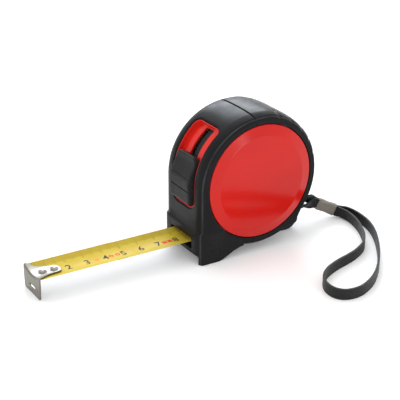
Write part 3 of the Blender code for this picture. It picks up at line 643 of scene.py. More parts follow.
def webbing_section():
    """Points across the webbing as (across, through) shares: two selvedges and a ribbed middle."""
    half = []
    for i in range(13):
        across = -1 + i / 6
        edge = max(0.0, (abs(across) - 0.8) / 0.2)
        through = 0.86 + 0.14 * math.sin(math.pi * edge) if edge < 1 else 0.5
        half.append((across, through))
    return half + [(a, -t) for a, t in reversed(half)]


def webbing(route, widths_along, leaving, pitch=0.85):
    """A woven strap along a route: ribs run across it, and both cut ends are square to leaving."""
    section = webbing_section()
    rings = []
    travelled = 0.0
    for i, point in enumerate(route):
        if i == 0:
            ahead = leaving.copy()
        elif i == len(route) - 1:
            ahead = -leaving
        else:
            ahead = (route[i + 1] - route[i - 1]).normalized()
        if i:
            travelled += (point - route[i - 1]).length
        across = widths_along[i] - ahead * widths_along[i].dot(ahead)
        across.normalize()
        through = ahead.cross(across)
        rib = 0.05 * math.cos(2 * math.pi * travelled / pitch)
        ring = []
        for a, t in section:
            ribbed = rib * (1 if t > 0 else -1) * (1.0 if abs(a) < 0.8 else 0.3)
            ring.append(point + across * a * STRAP_WIDTH / 2 + through * (t * STRAP_THICK / 2 + ribbed))
        rings.append(ring)
    return skin(rings)


def strands_at(place):
    """Where the two strands stand side by side at one end of the ferrule, the nearer to -Y first."""
    offset = FERRULE_SIDE * STRAND_OFFSET
    return sorted((place + offset, place - offset), key=lambda p: p.y)


def make_wrist_loop(ferrule):
    inner, outer = strands_at(FERRULE_END + FERRULE_AHEAD * STRAP_GAP)
    out_by = FERRULE_AHEAD * 1.5
    route = smooth_route([inner, inner + out_by, *LOOP_ROUTE, outer + out_by, outer], ROUTE_STEP)
    body = webbing(route, [Vector((0, 0, 1))] * len(route), FERRULE_AHEAD)
    slot, stands_for = "black_webbing", ["wrist_loop"]
    loop = add_piece("wrist_loop_webbing", body, WEBBING, "case", stands_for, 60, False)


def make_strap_anchor():
    """The short loop from the ferrule round the pin, with a quarter twist each way."""
    leave = FERRULE_START - FERRULE_AHEAD * STRAP_GAP
    lower, upper = strands_at(leave)
    turn = PIN_R + STRAP_GAP + STRAP_THICK / 2 + 0.1
    around = [(x, 0.0, z) for x, z in arc(PIN_X, PIN_Z, turn, -90, -270, 6)]
    back_by = FERRULE_AHEAD * 1.6
    below = [lower, lower - back_by, (44.5, -0.4, 9.2), (41.0, -0.2, 9.5), (37.0, 0.0, 9.75)]
    above = [(37.0, 0.0, 15.2), (41.0, 0.2, 14.4), (44.5, 0.4, 12.6), upper - back_by, upper]
    route = smooth_route([*below, *around, *above], ROUTE_STEP)
    widths = []
    for point in route:
        share = smoothstep((point.x - 37.0) / (leave.x - 38.5))
        turn_by = math.radians(90) * (1 - share)
        widths.append(Vector((0, -math.sin(turn_by), math.cos(turn_by))))
    body = webbing(route, widths, -FERRULE_AHEAD)
    slot, stands_for = "black_webbing", ["strap_anchor"]
    anchor = add_piece("strap_anchor_webbing", body, WEBBING, "case", stands_for, 60, False)


def make_ferrule():
    """A crimped metal sleeve: rolled lips, a pressed waist and the sheet's butt joint along its side."""
    ahead = FERRULE_AHEAD
    up = (Vector((0, 0, 1)) - ahead * ahead.z).normalized()
    side = ahead.cross(up)
    length = (FERRULE_END - FERRULE_START).length
    stations = ((0.0, -0.1), (0.02, 0.0), (0.06, 0.05), (0.1, 0.0), (0.3, -0.05), (0.42, -0.2))
    stations += ((0.5, -0.24),)
    stations += tuple((1 - t, grown) for t, grown in reversed(stations[:-1]))
    rings = []
    for share, grown in stations:
        centre = FERRULE_START + ahead * length * share
        ring = []
        for i in range(40):
            a = 2 * math.pi * i / 40
            c, s = math.cos(a), math.sin(a)
            square = (abs(c) ** 4.5 + abs(s) ** 4.5) ** (-1 / 4.5)
            seam = 0.16 * math.exp(-((a - 0.5 * math.pi) / 0.09) ** 2)
            fold = 0.22 * math.exp(-((a - 1.5 * math.pi) / 0.12) ** 2)
            tall = (3.3 + grown) * c * square
            wide = (2.0 + grown * 0.7 - seam - fold) * s * square
            ring.append(centre + up * tall + side * wide)
        rings.append(ring)
    return add_piece("ferrule_sleeve", skin(rings), STEEL, "case", ["ferrule"], 40)


# ---------------------------------------------------------------- case

TOP_INSETS = ((0, -0.5), (5, -0.45), (8, -0.38), (12, -0.05), (14, 0.42), (15.9, 1.0), (18, 2.3))
REAR_INSETS = ((0, -0.6), (8, -0.55), (12, -0.3), (14, 0.0), (15.9, 0.45), (18, 1.9))
FRONT_INSETS = ((0, 0.0), (12, 0.0), (13, 0.02), (14, 0.12), (15, 0.4), (16, 0.85), (17.3, 1.7))
FRONT_INSETS += ((18, 2.5),)
LEVEL_HALVES = (0, 2.5, 5, 7, 8.5, 10, 11, 11.6, 12.2, 12.8, 13.4, 14, 14.6, 15.2, 15.6, 15.8, 15.9)
LEVEL_HALVES += (16.05, 16.3, 16.7, 17.1, 17.4, 17.65, 17.82, 17.94, 18.0)


def case_inset(half, angle, part_step):
    """How far the case's surface is drawn in from BAND_R, at half a width and an angle in degrees."""
    front = smoothstep((angle - 105) / 55)
    rear = 1 - smoothstep((angle - 75) / 18)
    top = between(half, TOP_INSETS)
    top += (between(half, REAR_INSETS) - top) * rear
    inset = top + (between(half, FRONT_INSETS) - top) * front
    rolled = max(0.0, half - 17.65) / 0.35
    inset += 0.35 * (1 - math.sqrt(max(0.0, 1 - rolled * rolled)))
    near_top = smoothstep((angle - 35) / 30) * (1 - smoothstep((angle - 105) / 25))
    return inset + part_step * near_top * (1 - smoothstep((half - 12) / 5))


def seam_roll(distance):
    """The small rounding of both frames at the seam between them."""
    radius = 0.4
    if distance >= radius:
        return 0.0
    return radius - math.sqrt(radius * radius - (radius - distance) ** 2)


def grip_groove(half, angle):
    """Shallow cross grooves on the rear frame's two shoulders."""
    across = smoothstep((half - 8.0) / 3.0)
    depth = 0.0
    for middle in (71, 57, 43, 29, 15):
        depth += 0.5 * math.exp(-(((angle - middle) / 1.2) ** 2))
    return depth * across


SEAM_STEPS = (0.0, 0.05, 0.12, 0.22, 0.4)
REAR_SEAM_X = SEAM_X + SEAM_GAP / 2
FRONT_SEAM_X = SEAM_X - SEAM_GAP / 2


def on_band(radius, angle):
    """A point at a distance from the reel's axis and an angle in degrees."""
    turn = math.radians(angle)
    return (radius * math.cos(turn), REEL_Z + radius * math.sin(turn))


def squared_to_seam(points, seam_x):
    """The outline with its two ends moved onto the seam's plane."""
    return [(seam_x, points[0][1]), *points[1:-1], (seam_x, points[-1][1])]


def rear_outline(half):
    """The rear frame from the side: belly, heel, back and top, closed along the seam."""
    under = max(0.0, case_inset(half, 0.0, 0.0))
    seam_low = -90 + math.degrees(math.asin(REAR_SEAM_X / BAND_R))
    points = arc(0, REEL_Z, BAND_R - under, seam_low, -64, 12)
    points += arc(HEEL_X, HEEL_Z, HEEL_R - under * 0.9, -95, 15, 14)
    seam_high = math.degrees(math.acos(REAR_SEAM_X / BAND_R))
    angles = [-38 + (seam_high - 1.2 + 38) * i / 96 for i in range(97)]
    angles += [seam_high - math.degrees(d / BAND_R) for d in reversed(SEAM_STEPS)]
    for angle in angles:
        distance = (seam_high - angle) * math.pi / 180 * BAND_R
        radius = BAND_R - case_inset(half, angle, -0.12) - seam_roll(distance) - grip_groove(half, angle)
        points.append(on_band(radius, angle))
    return squared_to_seam(points, REAR_SEAM_X)


def front_outline(half):
    """The front frame from the side: top, front plane, sole, arch and belly."""
    seam_high = math.degrees(math.acos(FRONT_SEAM_X / BAND_R))
    angles = [seam_high + math.degrees(d / BAND_R) for d in SEAM_STEPS]
    angles += [seam_high + 1.2 + (180 - seam_high - 1.2) * i / 80 for i in range(81)]
    points = []
    for angle in angles:
        distance = (angle - seam_high) * math.pi / 180 * BAND_R
        radius = BAND_R - case_inset(half, angle, 0.16) - seam_roll(distance)
        points.append(on_band(radius, angle))
    front = case_inset(half, 180.0, 0.0) - BAND_R
    under = max(0.0, case_inset(half, 0.0, 0.0))
    foot_z = 0.8 + under * 0.3
    points += [(front, z) for z in (34.0, 28.0, 22.0, 16.0, 8.0, foot_z)]
    radius = BAND_R - under
    belly_end = -90 - math.degrees(math.asin(-ARCH_END_X / BAND_R))
    belly_start = -90 + math.degrees(math.asin(FRONT_SEAM_X / BAND_R))
    belly = arc(0, REEL_Z, radius, belly_end, belly_start, 6)
    points += bezier((LEG_END_X, foot_z), (-20.5, foot_z + 0.2), (-15.5, 5.9), belly[0], 14)[:-1]
    points += belly
    return squared_to_seam(points, FRONT_SEAM_X)


def lofted_case(outline_at):
    levels = [(-half, outline_at(half)) for half in reversed(LEVEL_HALVES)]
    levels += [(half, outline_at(half)) for half in LEVEL_HALVES[1:]]
    return loft_outlines(levels)


def housing_outline(radius, front, floor, channel):
    """The reel's round room with the nose in front and the flat channel under it."""
    dip = math.degrees(math.asin((REEL_Z - floor) / radius))
    side = math.degrees(math.acos(channel / radius))
    points = arc(0, REEL_Z, radius, -side, 180, 110)
    points[-1] = (front, REEL_Z)
    points += [(front, floor)]
    points += arc(0, REEL_Z, radius, -180 + dip, -dip, 6)
    points += [(channel, floor)]
    return points


def cavity_body():
    full = housing_outline(CAVITY_R, -CAVITY_R, FLOOR_Z, CHANNEL_X)
    drawn_in = CAVITY_R - 1.0
    side = housing_outline(drawn_in, -drawn_in, FLOOR_Z, CHANNEL_X)
    near = CAVITY_HALF - 1.0
    return loft_outlines([(-CAVITY_HALF, side), (-near, full), (near, full), (CAVITY_HALF, side)])


def disc_hole_body():
    """The hole for the covers, flared by a small round where it meets each side."""
    flare = [(DISC_HOLE_R, 0)]
    for i in range(6):
        a = math.radians(90 * i / 5)
        flare.append((DISC_HOLE_R + 0.4 * (1 - math.cos(a)), CASE_HALF - 0.35 + 0.4 * math.sin(a)))
    flare.append((DISC_HOLE_R + 0.6, 25))
    profile = flare[1:]
    both = [(0, -25), *[(r, -y) for r, y in reversed(profile)], *profile, (0, 25)]
    return turned(both, 180)


def front_point(along, out):
    """A point on the front, given by its way along the window and its distance from the band."""
    straight = REEL_Z - WINDOW_BOTTOM_Z
    if along < straight:
        return (-(BAND_R + out), WINDOW_BOTTOM_Z + along)
    angle = math.pi - (along - straight) / BAND_R
    return ((BAND_R + out) * math.cos(angle), REEL_Z + (BAND_R + out) * math.sin(angle))


def racetrack(start, end, half, low_corner, high_corner, steps=9, runs=26):
    """A flat outline of (along, across) points with round corners and well divided long sides."""
    corners = (
        (start + low_corner, -half + low_corner, low_corner, 180),
        (end - high_corner, -half + high_corner, high_corner, 270),
        (end - high_corner, half - high_corner, high_corner, 0),
        (start + low_corner, half - low_corner, low_corner, 90),
    )
    outline = []
    for number, (ca, cb, radius, first) in enumerate(corners):
        for i in range(steps + 1):
            angle = math.radians(first + 90 * i / steps)
            outline.append((ca + radius * math.cos(angle), cb + radius * math.sin(angle)))
        target = corners[(number + 1) % 4]
        if number in (0, 2):
            a0 = outline[-1][0]
            a1 = target[0]
            outline += [(a0 + (a1 - a0) * i / runs, outline[-1][1]) for i in range(1, runs)]
    return outline


def bent_skin(layers):
    """A body through (out, outline) layers that is bent round the front of the case."""
    rings = []
    for out, outline in layers:
        ring = []
        for along, across in outline:
            x, z = front_point(along, out)
            ring.append((x, across, z))
        rings.append(ring)
    body = skin(rings, capped=False)
    made = list(body.verts)
    count = len(rings[0])
    for ring in (made[:count], made[-count:]):
        close_bent_end(body, ring)
    return body


def close_bent_end(body, ring):
    """Fills a bent racetrack with strips across it, so that the cap follows the curve."""
    left = sorted((v for v in ring if v.co.y < -1e-6), key=climb)
    right = sorted((v for v in ring if v.co.y > 1e-6), key=climb)
    for (a, b), (c, d) in zip(zip(left, left[1:]), zip(right, right[1:])):
        body.faces.new((a, b, d, c))
    for end in ((left[0], right[0]), (left[-1], right[-1])):
        if not body.edges.get(end):
            body.edges.new(end)


def climb(vertex):
    """How far round the front a vertex is, from the window's foot upwards."""
    if vertex.co.z < REEL_Z:
        return vertex.co.z - REEL_Z
    return math.atan2(vertex.co.z - REEL_Z, -vertex.co.x) * BAND_R


def window_body(grow=0.0, radius=0.55):
    """The window's cutter: straight walls that flare into a rounded rim at the surface."""
    layers = []
    for out, wider in ((-6.0, 0.0), (-radius - 0.1, 0.0)):
        layers.append((out, wider))
    for i in range(1, 6):
        a = math.radians(90 * i / 5)
        layers.append((-radius - 0.1 + radius * math.sin(a), radius * (1 - math.cos(a))))
    layers.append((2.5, radius + 0.9))
    outlines = []
    for out, wider in layers:
        w = wider + grow
        outline = racetrack(-w, WINDOW_LENGTH + w, WINDOW_HALF + w, 5.6 + w, 3.9 + w)
        outlines.append((out, outline))
    return bent_skin(outlines)


def nose_outline(inset):
    """The proud lower front: its legs' soles, the arch behind them and the sloping step on top."""
    front = NOSE_X + inset
    sole = max(0.0, 0.3 * (inset - 1.8))
    arch = bezier((LEG_END_X - 0.3 * inset, sole), (-20.5, 0.1 + sole), (-15.8, 5.2), (-9.6, 5.6), 18)
    behind = arc(0, REEL_Z, 31.9, -107.5, -136.0, 5)
    top = NOSE_TOP + 0.1
    step = [(front + 1.15, top + 1.7 - 0.35 * inset), (front + 0.4, top + 0.5), (front + 0.1, top + 0.2)]
    down = [(front, top - 0.1), (front, top - 6.0), (front, sole + 0.3)]
    return [(front + 0.3, sole), *arch, *behind, *step, *down]


NOSE_LEVELS = ((12.5, 0.0), (13.5, 0.04), (14.5, 0.22), (15.5, 0.56), (16.3, 0.96), (17.0, 1.4))
NOSE_LEVELS += ((17.5, 1.82), (17.8, 2.15), (17.96, 2.5), (18.04, 3.0))


def nose_body():
    halves = [(-y, nose_outline(inset)) for y, inset in reversed(NOSE_LEVELS)]
    halves += [(y, nose_outline(inset)) for y, inset in NOSE_LEVELS]
    return loft_outlines(halves)


def round_cornered_ring(x, half, low, high, low_radius, high_radius, steps):
    """A ring at x: a rectangle of half width from low to high with round corners."""
    ring = []
    for y, z, first, radius in (
        (half, high, 0, high_radius),
        (-half, high, 90, high_radius),
        (-half, low, 180, low_radius),
        (half, low, 270, low_radius),
    ):
        inner_y = y - math.copysign(radius, y)
        inner_z = z - radius if first < 180 else z + radius
        for i in range(steps + 1):
            a = math.radians(first + 90 * i / steps)
            ring.append((x, inner_y + radius * math.cos(a), inner_z + radius * math.sin(a)))
    return ring


def mouth_body():
    """The mouth's cutter: a rounded slot that flares out to the front plane, most of all on top."""
    stations = ((-29.0, 12.6, 9.9, 7.4), (-34.6, 12.6, 9.9, 7.4), (-35.3, 12.65, 9.92, 7.4))
    stations += ((-35.7, 12.75, 9.97, 7.38), (-35.95, 12.9, 10.05, 7.3), (-36.15, 13.1, 10.2, 7.15))
    stations += ((-36.32, 13.45, 10.45, 6.9), (-41.0, 15.2, 12.5, 6.0))
    return skin([round_cornered_ring(x, half, low, top, 0.5, 1.2, 6) for x, top, half, low in stations])


def pocket_body():
    """The gap between the front legs, with eased edges at the soles and at the front."""
    side = [(LEG_INNER + 0.9, -2.0), (LEG_INNER + 0.35, 0.0), (LEG_INNER + 0.08, 0.25)]
    side += [(LEG_INNER, 0.55), (LEG_INNER, LIP_Z - 0.9), (LEG_INNER - 0.25, LIP_Z - 0.3)]
    side += [(LEG_INNER - 0.9, LIP_Z)]
    section = [(-y, z) for y, z in side] + list(reversed(side))
    rings = []
    for x, wider in ((-45.0, 1.2), (-36.5, 0.42), (-36.1, 0.14), (-35.7, 0.0), (-19.5, 0.0)):
        grown = [z + wider * 0.8 if z > 2 else z for _, z in section]
        rings.append([(x, y + math.copysign(wider, y), z) for (y, _), z in zip(section, grown)])
    rings.append([(-12.0, y, min(z, 0.8)) for y, z in section])
    return skin(rings)


def make_front_frame():
    body = combined(
        lofted_case(front_outline),
        ("UNION", nose_body()),
        ("DIFFERENCE", cavity_body()),
        ("DIFFERENCE", disc_hole_body()),
        ("DIFFERENCE", window_body()),
        ("DIFFERENCE", mouth_body()),
        ("DIFFERENCE", pocket_body()),
        solver="MANIFOLD",
    )
    add_piece("front_frame", body, BLACK, "case", ["front_case"], 34)


def lug_body():
    """The rear foot with its lug, as a rounded block."""
    sole = [(14, 8.5), (18.5, 5.5), (22.0, 0.0), (28.4, 0.0), (31.4, 1.6), (33.6, 4.6), (34.3, 8.2)]
    ear = [(34.2, 12.5), (33.0, 15.4), (29.5, 17.2), (22, 19)]
    outline = rounded(sole + ear, 1.6, 5)
    middle = Vector((26.0, 9.0))
    levels = []
    for i in range(7):
        a = math.radians(88 * i / 6)
        drawn = 1.2 * (1 - math.cos(a))
        shrunk = []
        for x, z in outline:
            away = Vector((x, z)) - middle
            reach = max(0.1, away.length)
            kept = away * (1 - drawn / reach)
            shrunk.append((middle.x + kept.x, middle.y + kept.y))
        levels.append((FOOT_HALF - 1.2 + 1.2 * math.sin(a), shrunk))
    halves = [(-y, o) for y, o in reversed(levels)] + levels
    return loft_outlines(halves)


def slot_body():
    """The strap's slot through the lug, flared at its outer edges."""
    rings = []
    for x, wider in ((26.4, 0.0), (33.2, 0.0), (33.8, 0.1), (34.2, 0.35), (35.0, 0.9), (45.0, 1.5)):
        low, high = 8.3 - wider, 16.6 + wider * 2
        rings.append(round_cornered_ring(x, SLOT_HALF + wider, low, high, 0.6, 0.6, 4))
    return skin(rings)


def make_rear_frame():
    pin_hole = turned([(0, -10), (PIN_R + 0.3, -10), (PIN_R + 0.3, 10), (0, 10)], 40, PIN_X, PIN_Z)
    body = combined(
        lofted_case(rear_outline),
        ("UNION", lug_body()),
        ("DIFFERENCE", cavity_body()),
        ("DIFFERENCE", disc_hole_body()),
        ("DIFFERENCE", slot_body()),
        ("DIFFERENCE", pin_hole),
        solver="MANIFOLD",
    )
    add_piece("rear_frame", body, BLACK, "case", ["rear_case"], 34)


def make_strap_pin():
    half = FOOT_HALF - 0.4
    profile = [(0, -half), (PIN_R - 0.4, -half), (PIN_R, -half + 0.4), (PIN_R, half - 0.4)]
    profile += [(PIN_R - 0.4, half), (0, half)]
    body = turned(rounded(profile, 0.25), 40, PIN_X, PIN_Z)
    add_piece("strap_pin_steel", body, STEEL, "case", ["strap_pin"])


def make_discs():
    """The round covers: a rolled rim, a broad bevel up to the raised flat, and a hair of relief."""
    profile = [(30.2, 15.9), (30.2, 17.55), (30.16, 17.72), (30.04, 17.86), (29.85, 17.94), (29.5, 18.0)]
    profile += [(25.35, 19.02), (25.15, 19.1), (24.95, 19.16), (24.7, 19.19), (24.4, 19.2)]
    profile += [(18.0, 19.2), (9.0, 19.2)]
    for name, node, side in (("near_cover", "near_disc", -1), ("far_cover", "far_disc", 1)):
        hole = 1.9 if side > 0 else 0.0
        ring = [(hole, side * 15.9), *[(r, side * y) for r, y in profile], (hole, side * 19.2)]
        body = turned(ring, 200)
        add_piece(name, body, RED, "case", [node], 40)


# ---------------------------------------------------------------- lock


def make_track():
    """The curved red tray with rolled lips and the slot down its floor."""
    floor_out = TRACK_FLOOR_R - BAND_R

    def outline(grow):
        return racetrack(0.3 - grow, WINDOW_LENGTH - 0.3 + grow, 10.7 + grow, 5.3 + grow, 3.6 + grow)

    wall = 0.5
    lips = [(floor_out - 1.0, 0), (-0.75, 0), (-0.6, -0.05), (-0.53, -0.15), (-0.52, -0.25)]
    lips += [(-0.56, -0.37), (-0.68, -0.46), (-0.9, -wall), (floor_out + 0.6, -wall)]
    lips += [(floor_out + 0.18, -wall - 0.14), (floor_out, -wall - 0.6)]
    slot = []
    for deeper, grow in ((-4.0, 0.0), (-0.3, 0.0), (-0.08, 0.08), (0.3, 0.4)):
        end = WINDOW_LENGTH - 1.3 + grow
        slot.append((floor_out + deeper, racetrack(4.0 - grow, end, 3.4 + grow, 1.1 + grow, 0.9 + grow)))
    tray = bent_skin([(out, outline(grow)) for out, grow in lips])
    body = combined(tray, ("DIFFERENCE", bent_skin(slot)))
    add_piece("lock_tray", body, TRACK_RED, "case", ["lock_track"], 36)


BUTTON_PROFILE = (
    (0.0, 0.2), (0.03, 1.6), (0.08, 2.1), (0.29, 2.3), (0.305, 2.2), (0.318, 1.65), (0.331, 2.25),
    (0.35, 2.45), (0.5, 2.6), (0.535, 2.5), (0.56, 1.75), (0.585, 2.0), (0.68, 1.3), (0.78, 0.78),
    (0.84, 0.62), (0.9, 0.85), (0.95, 1.35), (0.975, 1.45), (0.992, 1.15), (1.0, 0.4),
)


def make_button():
    """The thumb slide: a curved block with a thumb hollow, two cross grooves and a top lip."""
    rows = 170
    rings = []
    for i in range(rows + 1):
        share = i / rows
        along = LOCK_START + LOCK_LENGTH * share
        top = between(share, BUTTON_PROFILE)
        foot = max(0.0, 1 - share * LOCK_LENGTH / 2.4)
        head = max(0.0, 1 - (1 - share) * LOCK_LENGTH / 4.5)
        half = LOCK_HALF - 2.2 * (1 - math.sqrt(1 - foot**2)) - 3.6 * (1 - math.sqrt(max(0.0, 1 - head**2)))
        edge = 0.75
        side = [(half, -2.2), (half, top - edge - 0.5), (half - 0.02, top - edge)]
        for k in range(1, 6):
            a = math.radians(90 * k / 5)
            side.append((half - edge * (1 - math.cos(a)), top - edge * (1 - math.sin(a))))
        side += [(half * f, top - 0.22 * (1 - f * f)) for f in (0.75, 0.5, 0.25)]
        section = side + [(0.0, top - 0.22)] + [(-y, out) for y, out in reversed(side)]
        ring = []
        for across, out in section:
            x, z = front_point(along, out)
            ring.append((x, across, z))
        rings.append(ring)
    add_piece("lock_slide_button", skin(rings), SOFT_BLACK, "lock", ["lock_button"], 38)


def make_arm():
    """The brake arm under the tray: a plain arc with a raised middle web and a stem to the button."""
    section = ((-4.6, 28.9), (4.6, 28.9), (4.6, 29.5), (1.9, 29.5), (1.75, 30.7), (-4.45, 30.7))
    section += ((-4.6, 30.55),)
    rings = []
    for i in range(61):
        angle = math.radians(121 + 98 * i / 60)
        rings.append([(r * math.cos(angle), y, REEL_Z + r * math.sin(angle)) for y, r in section])
    stem = arc(0, REEL_Z, 32.7, 160, 176, 8) + arc(0, REEL_Z, 29.5, 176, 160, 8)
    body = combined(skin(rings), ("UNION", prism(stem, -1.9, 1.9)), solver="MANIFOLD")
    add_piece("brake_arm", body, SOFT_BLACK, "lock", ["lock_arm"], 30)


# ---------------------------------------------------------------- blade


def blade_top(y, drop=0.0):
    """The blade's hollow upper face: high at its edges and low in the middle."""
    return BLADE_EDGE_Z - BLADE_SAG * (1 - (y / BLADE_HALF) ** 2) - drop


def strip_body(x0, x1, drop, front_corners):
    """One length of blade. The front strip's end under the hook has clipped corners."""
    count = max(8, round((x1 - x0) / 1.2))
    ys = [-BLADE_HALF + 2 * BLADE_HALF * i / 24 for i in range(25)]
    rings = []
    for i in range(count + 1):
        share = i / count
        x = x0 + (x1 - x0) * share
        upper = []
        for y in ys:
            pulled = max(0.0, abs(y) - BLADE_HALF + 2.0) if front_corners and i == 0 else 0.0
            upper.append((x + pulled * 0.6, y, blade_top(y, drop)))
        rings.append(upper + [(px, py, pz - BLADE_THICK) for px, py, pz in reversed(upper)])
    return skin(rings)


def upright_rod(radius, z0, z1, cx, cy, steps=24):
    body = bmesh.new()
    sizes = {"radius1": radius, "radius2": radius, "depth": z1 - z0}
    bmesh.ops.create_cone(body, cap_ends=True, segments=steps, **sizes)
    bmesh.ops.translate(body, vec=(cx, cy, (z0 + z1) / 2), verts=body.verts)
    return body


def make_blade():
    holes = [("DIFFERENCE", upright_rod(1.3, 5, 12, x, 0)) for x in RIVETS_X]
    body = combined(strip_body(HOOK_X + HOOK_THICK + 0.3, STRIP_JOIN_X, 0.0, True), *holes)
    add_piece("blade_front_strip", body, MARKED_YELLOW, "blade", ["blade_front"], 40)
    root = strip_body(*REAR_STRIP, ROOT_DROP, False)
    add_piece("blade_root_strip", root, MARKED_YELLOW, "blade_root", ["blade_rear"], 40)


def printed(shape, x, y, height, drop):
    """A flat printed shape laid on the hollow blade: scaled to height and centred on (x, y)."""
    body = bmesh.new()
    body.from_mesh(shape)
    xs = [v.co.x for v in body.verts]
    ys = [v.co.y for v in body.verts]
    scale = height / (max(ys) - min(ys))
    middle = Vector(((max(xs) + min(xs)) / 2, (max(ys) + min(ys)) / 2, 0))
    for v in body.verts:
        v.co = (v.co - middle) * scale + Vector((x, y, 0))
    for i in range(1, 12):
        at = y - height / 2 + height * i / 12
        everything = body.verts[:] + body.edges[:] + body.faces[:]
        bmesh.ops.bisect_plane(body, geom=everything, plane_co=(0, at, 0), plane_no=(0, 1, 0), dist=1e-4)
    for v in body.verts:
        v.co.z = blade_top(v.co.y, drop) + 0.02
    return body


def digit_mesh(text):
    curve = bpy.data.curves.new("digit", "FONT")
    curve.body = text
    curve.resolution_u = 6
    curve.offset = 0.013
    holder = bpy.data.objects.new("digit", curve)
    bpy.context.scene.collection.objects.link(holder)
    bpy.context.view_layer.update()
    evaluated = holder.evaluated_get(bpy.context.evaluated_depsgraph_get())
    mesh = bpy.data.meshes.new_from_object(evaluated)
    bpy.data.objects.remove(holder, do_unlink=True)
    bpy.data.curves.remove(curve)
    return mesh


def mark_mesh(points, inner, turn):
    """A small polygon ring, whose inner radius is a share of its outer one."""
    body = bmesh.new()
    outer = []
    hollow = []
    for i in range(points):
        a = turn + 2 * math.pi * i / points
        outer.append(body.verts.new((math.cos(a), math.sin(a), 0)))
        hollow.append(body.verts.new((inner * math.cos(a), inner * math.sin(a), 0)))
    for i in range(points):
        j = (i + 1) % points
        body.faces.new((outer[i], outer[j], hollow[j], hollow[i]))
    mesh = bpy.data.meshes.new("mark")
    body.to_mesh(mesh)
    body.free()
    return mesh


def print_on_blade(name, shape, ink, x, height):
    """Adds a printed shape to whichever strip lies under it."""
    on_front = x < STRIP_JOIN_X
    body = printed(shape, x, PRINT_Y, height, 0.0 if on_front else ROOT_DROP)
    for face in body.faces:
        if face.normal.z < 0:
            face.normal_flip()
    mesh = bpy.data.meshes.new(name)
    body.to_mesh(mesh)
    body.free()
    mesh.transform(TO_WORLD)
    mesh.materials.append(ink)
    piece = bpy.data.objects.new(name, mesh)
    bpy.context.scene.collection.objects.link(piece)
    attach(piece, "blade" if on_front else "blade_root")


def make_printing():
    """The centimetre digits and the small coloured marks between some of them."""
    for digit in range(2, 9):
        x = HOOK_X + 10.0 * digit - 0.4
        print_on_blade(f"scale_digit_{digit}", digit_mesh(str(digit)), INK, x, 4.5)
    for name, x, height, ink, points, inner in (
        ("red_ring_1", -76.4, 2.7, RED_INK, 12, 0.45),
        ("red_ring_2", -72.8, 2.7, RED_INK, 12, 0.45),
        ("red_bar_1", -46.0, 2.6, RED_INK, 4, 0.1),
        ("red_bar_2", -42.9, 2.6, RED_INK, 4, 0.1),
        ("orange_mark_1", -84.2, 2.6, PALE_INK, 6, 0.1),
        ("orange_mark_2", -64.2, 1.2, PALE_INK, 4, 0.1),
    ):
        turn = math.pi / 4 if points == 4 else 0.0
        print_on_blade(name, mark_mesh(points, inner, turn), ink, x, height)


# ---------------------------------------------------------------- hook

HOOK_PLATE = (
    (-104.1, 1.4), (-104.25, 2.1), (-104.7, 2.8), (-105.4, 3.3), (-106.3, 3.6), (-107.5, 3.75),
    (-109.5, 4.1), (-111.5, 4.45), (-113.0, 5.0), (-114.5, 5.9), (-115.8, 7.1), (-116.8, 8.1),
    (-117.6, 8.8), (-118.0, 9.05),
)


def hook_rows():
    """Rows of the hook's outer face as (x, z, half width, how far it follows the blade's hollow)."""
    top = BLADE_EDGE_Z - BLADE_SAG + HOOK_RISE + HOOK_THICK
    rows = [(x, top, half, 1.0) for x, half in HOOK_PLATE]
    radius = 1.15
    for i in range(1, 8):
        a = math.radians(90 * i / 7)
        x, z = HOOK_X + radius * (1 - math.sin(a)), top - radius * (1 - math.cos(a))
        rows.append((x, z, 9.3, 1.0 - 0.06 * i / 7))
    face = ((7.4, 9.32, 0.8), (6.2, 9.3, 0.55), (5.0, 9.25, 0.35), (3.8, 9.15, 0.18), (2.9, 9.0, 0.08))
    face += ((2.2, 9.0, 0.0), (1.6, 8.96, 0.0), (1.1, 8.9, 0.0), (0.6, 8.75, 0.0), (0.35, 8.6, 0.0))
    face += ((0.2, 8.4, 0.0),)
    return rows + [(HOOK_X, z, half, follow) for z, half, follow in face]


def make_hook():
    """The end hook: a plate in the blade's hollow, bent down into the face that catches an edge."""
    across = [-1 + i / 12 for i in range(25)]
    rows = hook_rows()
    rings = []
    for index, (x, z, half, follow) in enumerate(rows):
        before = rows[max(0, index - 1)]
        after = rows[min(len(rows) - 1, index + 1)]
        way = Vector((after[0] - before[0], after[1] - before[1])).normalized()
        inwards = Vector((way.y, -way.x))
        if inwards.y > 0.01 or inwards.x < -0.01:
            inwards = -inwards
        outer_side = []
        inner_side = []
        for s in across:
            y = s * half
            notch = 0.9 * max(0.0, 1 - abs(y) / 1.4) if index == len(rows) - 1 else 0.0
            hollow = follow * BLADE_SAG * (y / BLADE_HALF) ** 2
            outer_side.append((x, y, z + hollow + notch))
            inner_side.append((x + inwards.x * HOOK_THICK, y, z + inwards.y * HOOK_THICK + hollow + notch))
        rings.append(outer_side + list(reversed(inner_side)))
    nail_slot = box(-125, -110, -3.7, 2.7, 3.8, 4.85)
    holes = [("DIFFERENCE", upright_slot(1.3, HOOK_THICK, 5, 15, x)) for x in RIVETS_X]
    body = combined(skin(rings), ("DIFFERENCE", nail_slot), *holes)
    hook = add_piece("end_hook_plate", body, STEEL, "hook", ["end_hook"], 36)
    add_bevel(hook, 0.13, 2, 50)


def upright_slot(radius, length, z0, z1, x, steps=10):
    """A round-ended slot cutter along Z that runs from x by its length towards +X."""
    outline = []
    for cx, first in ((x, 90), (x + length, -90)):
        for i in range(steps + 1):
            a = math.radians(first + 180 * i / steps)
            outline.append((cx + radius * math.cos(a), radius * math.sin(a)))
    return skin([[(px, py, z) for px, py in outline] for z in (z0, z1)])


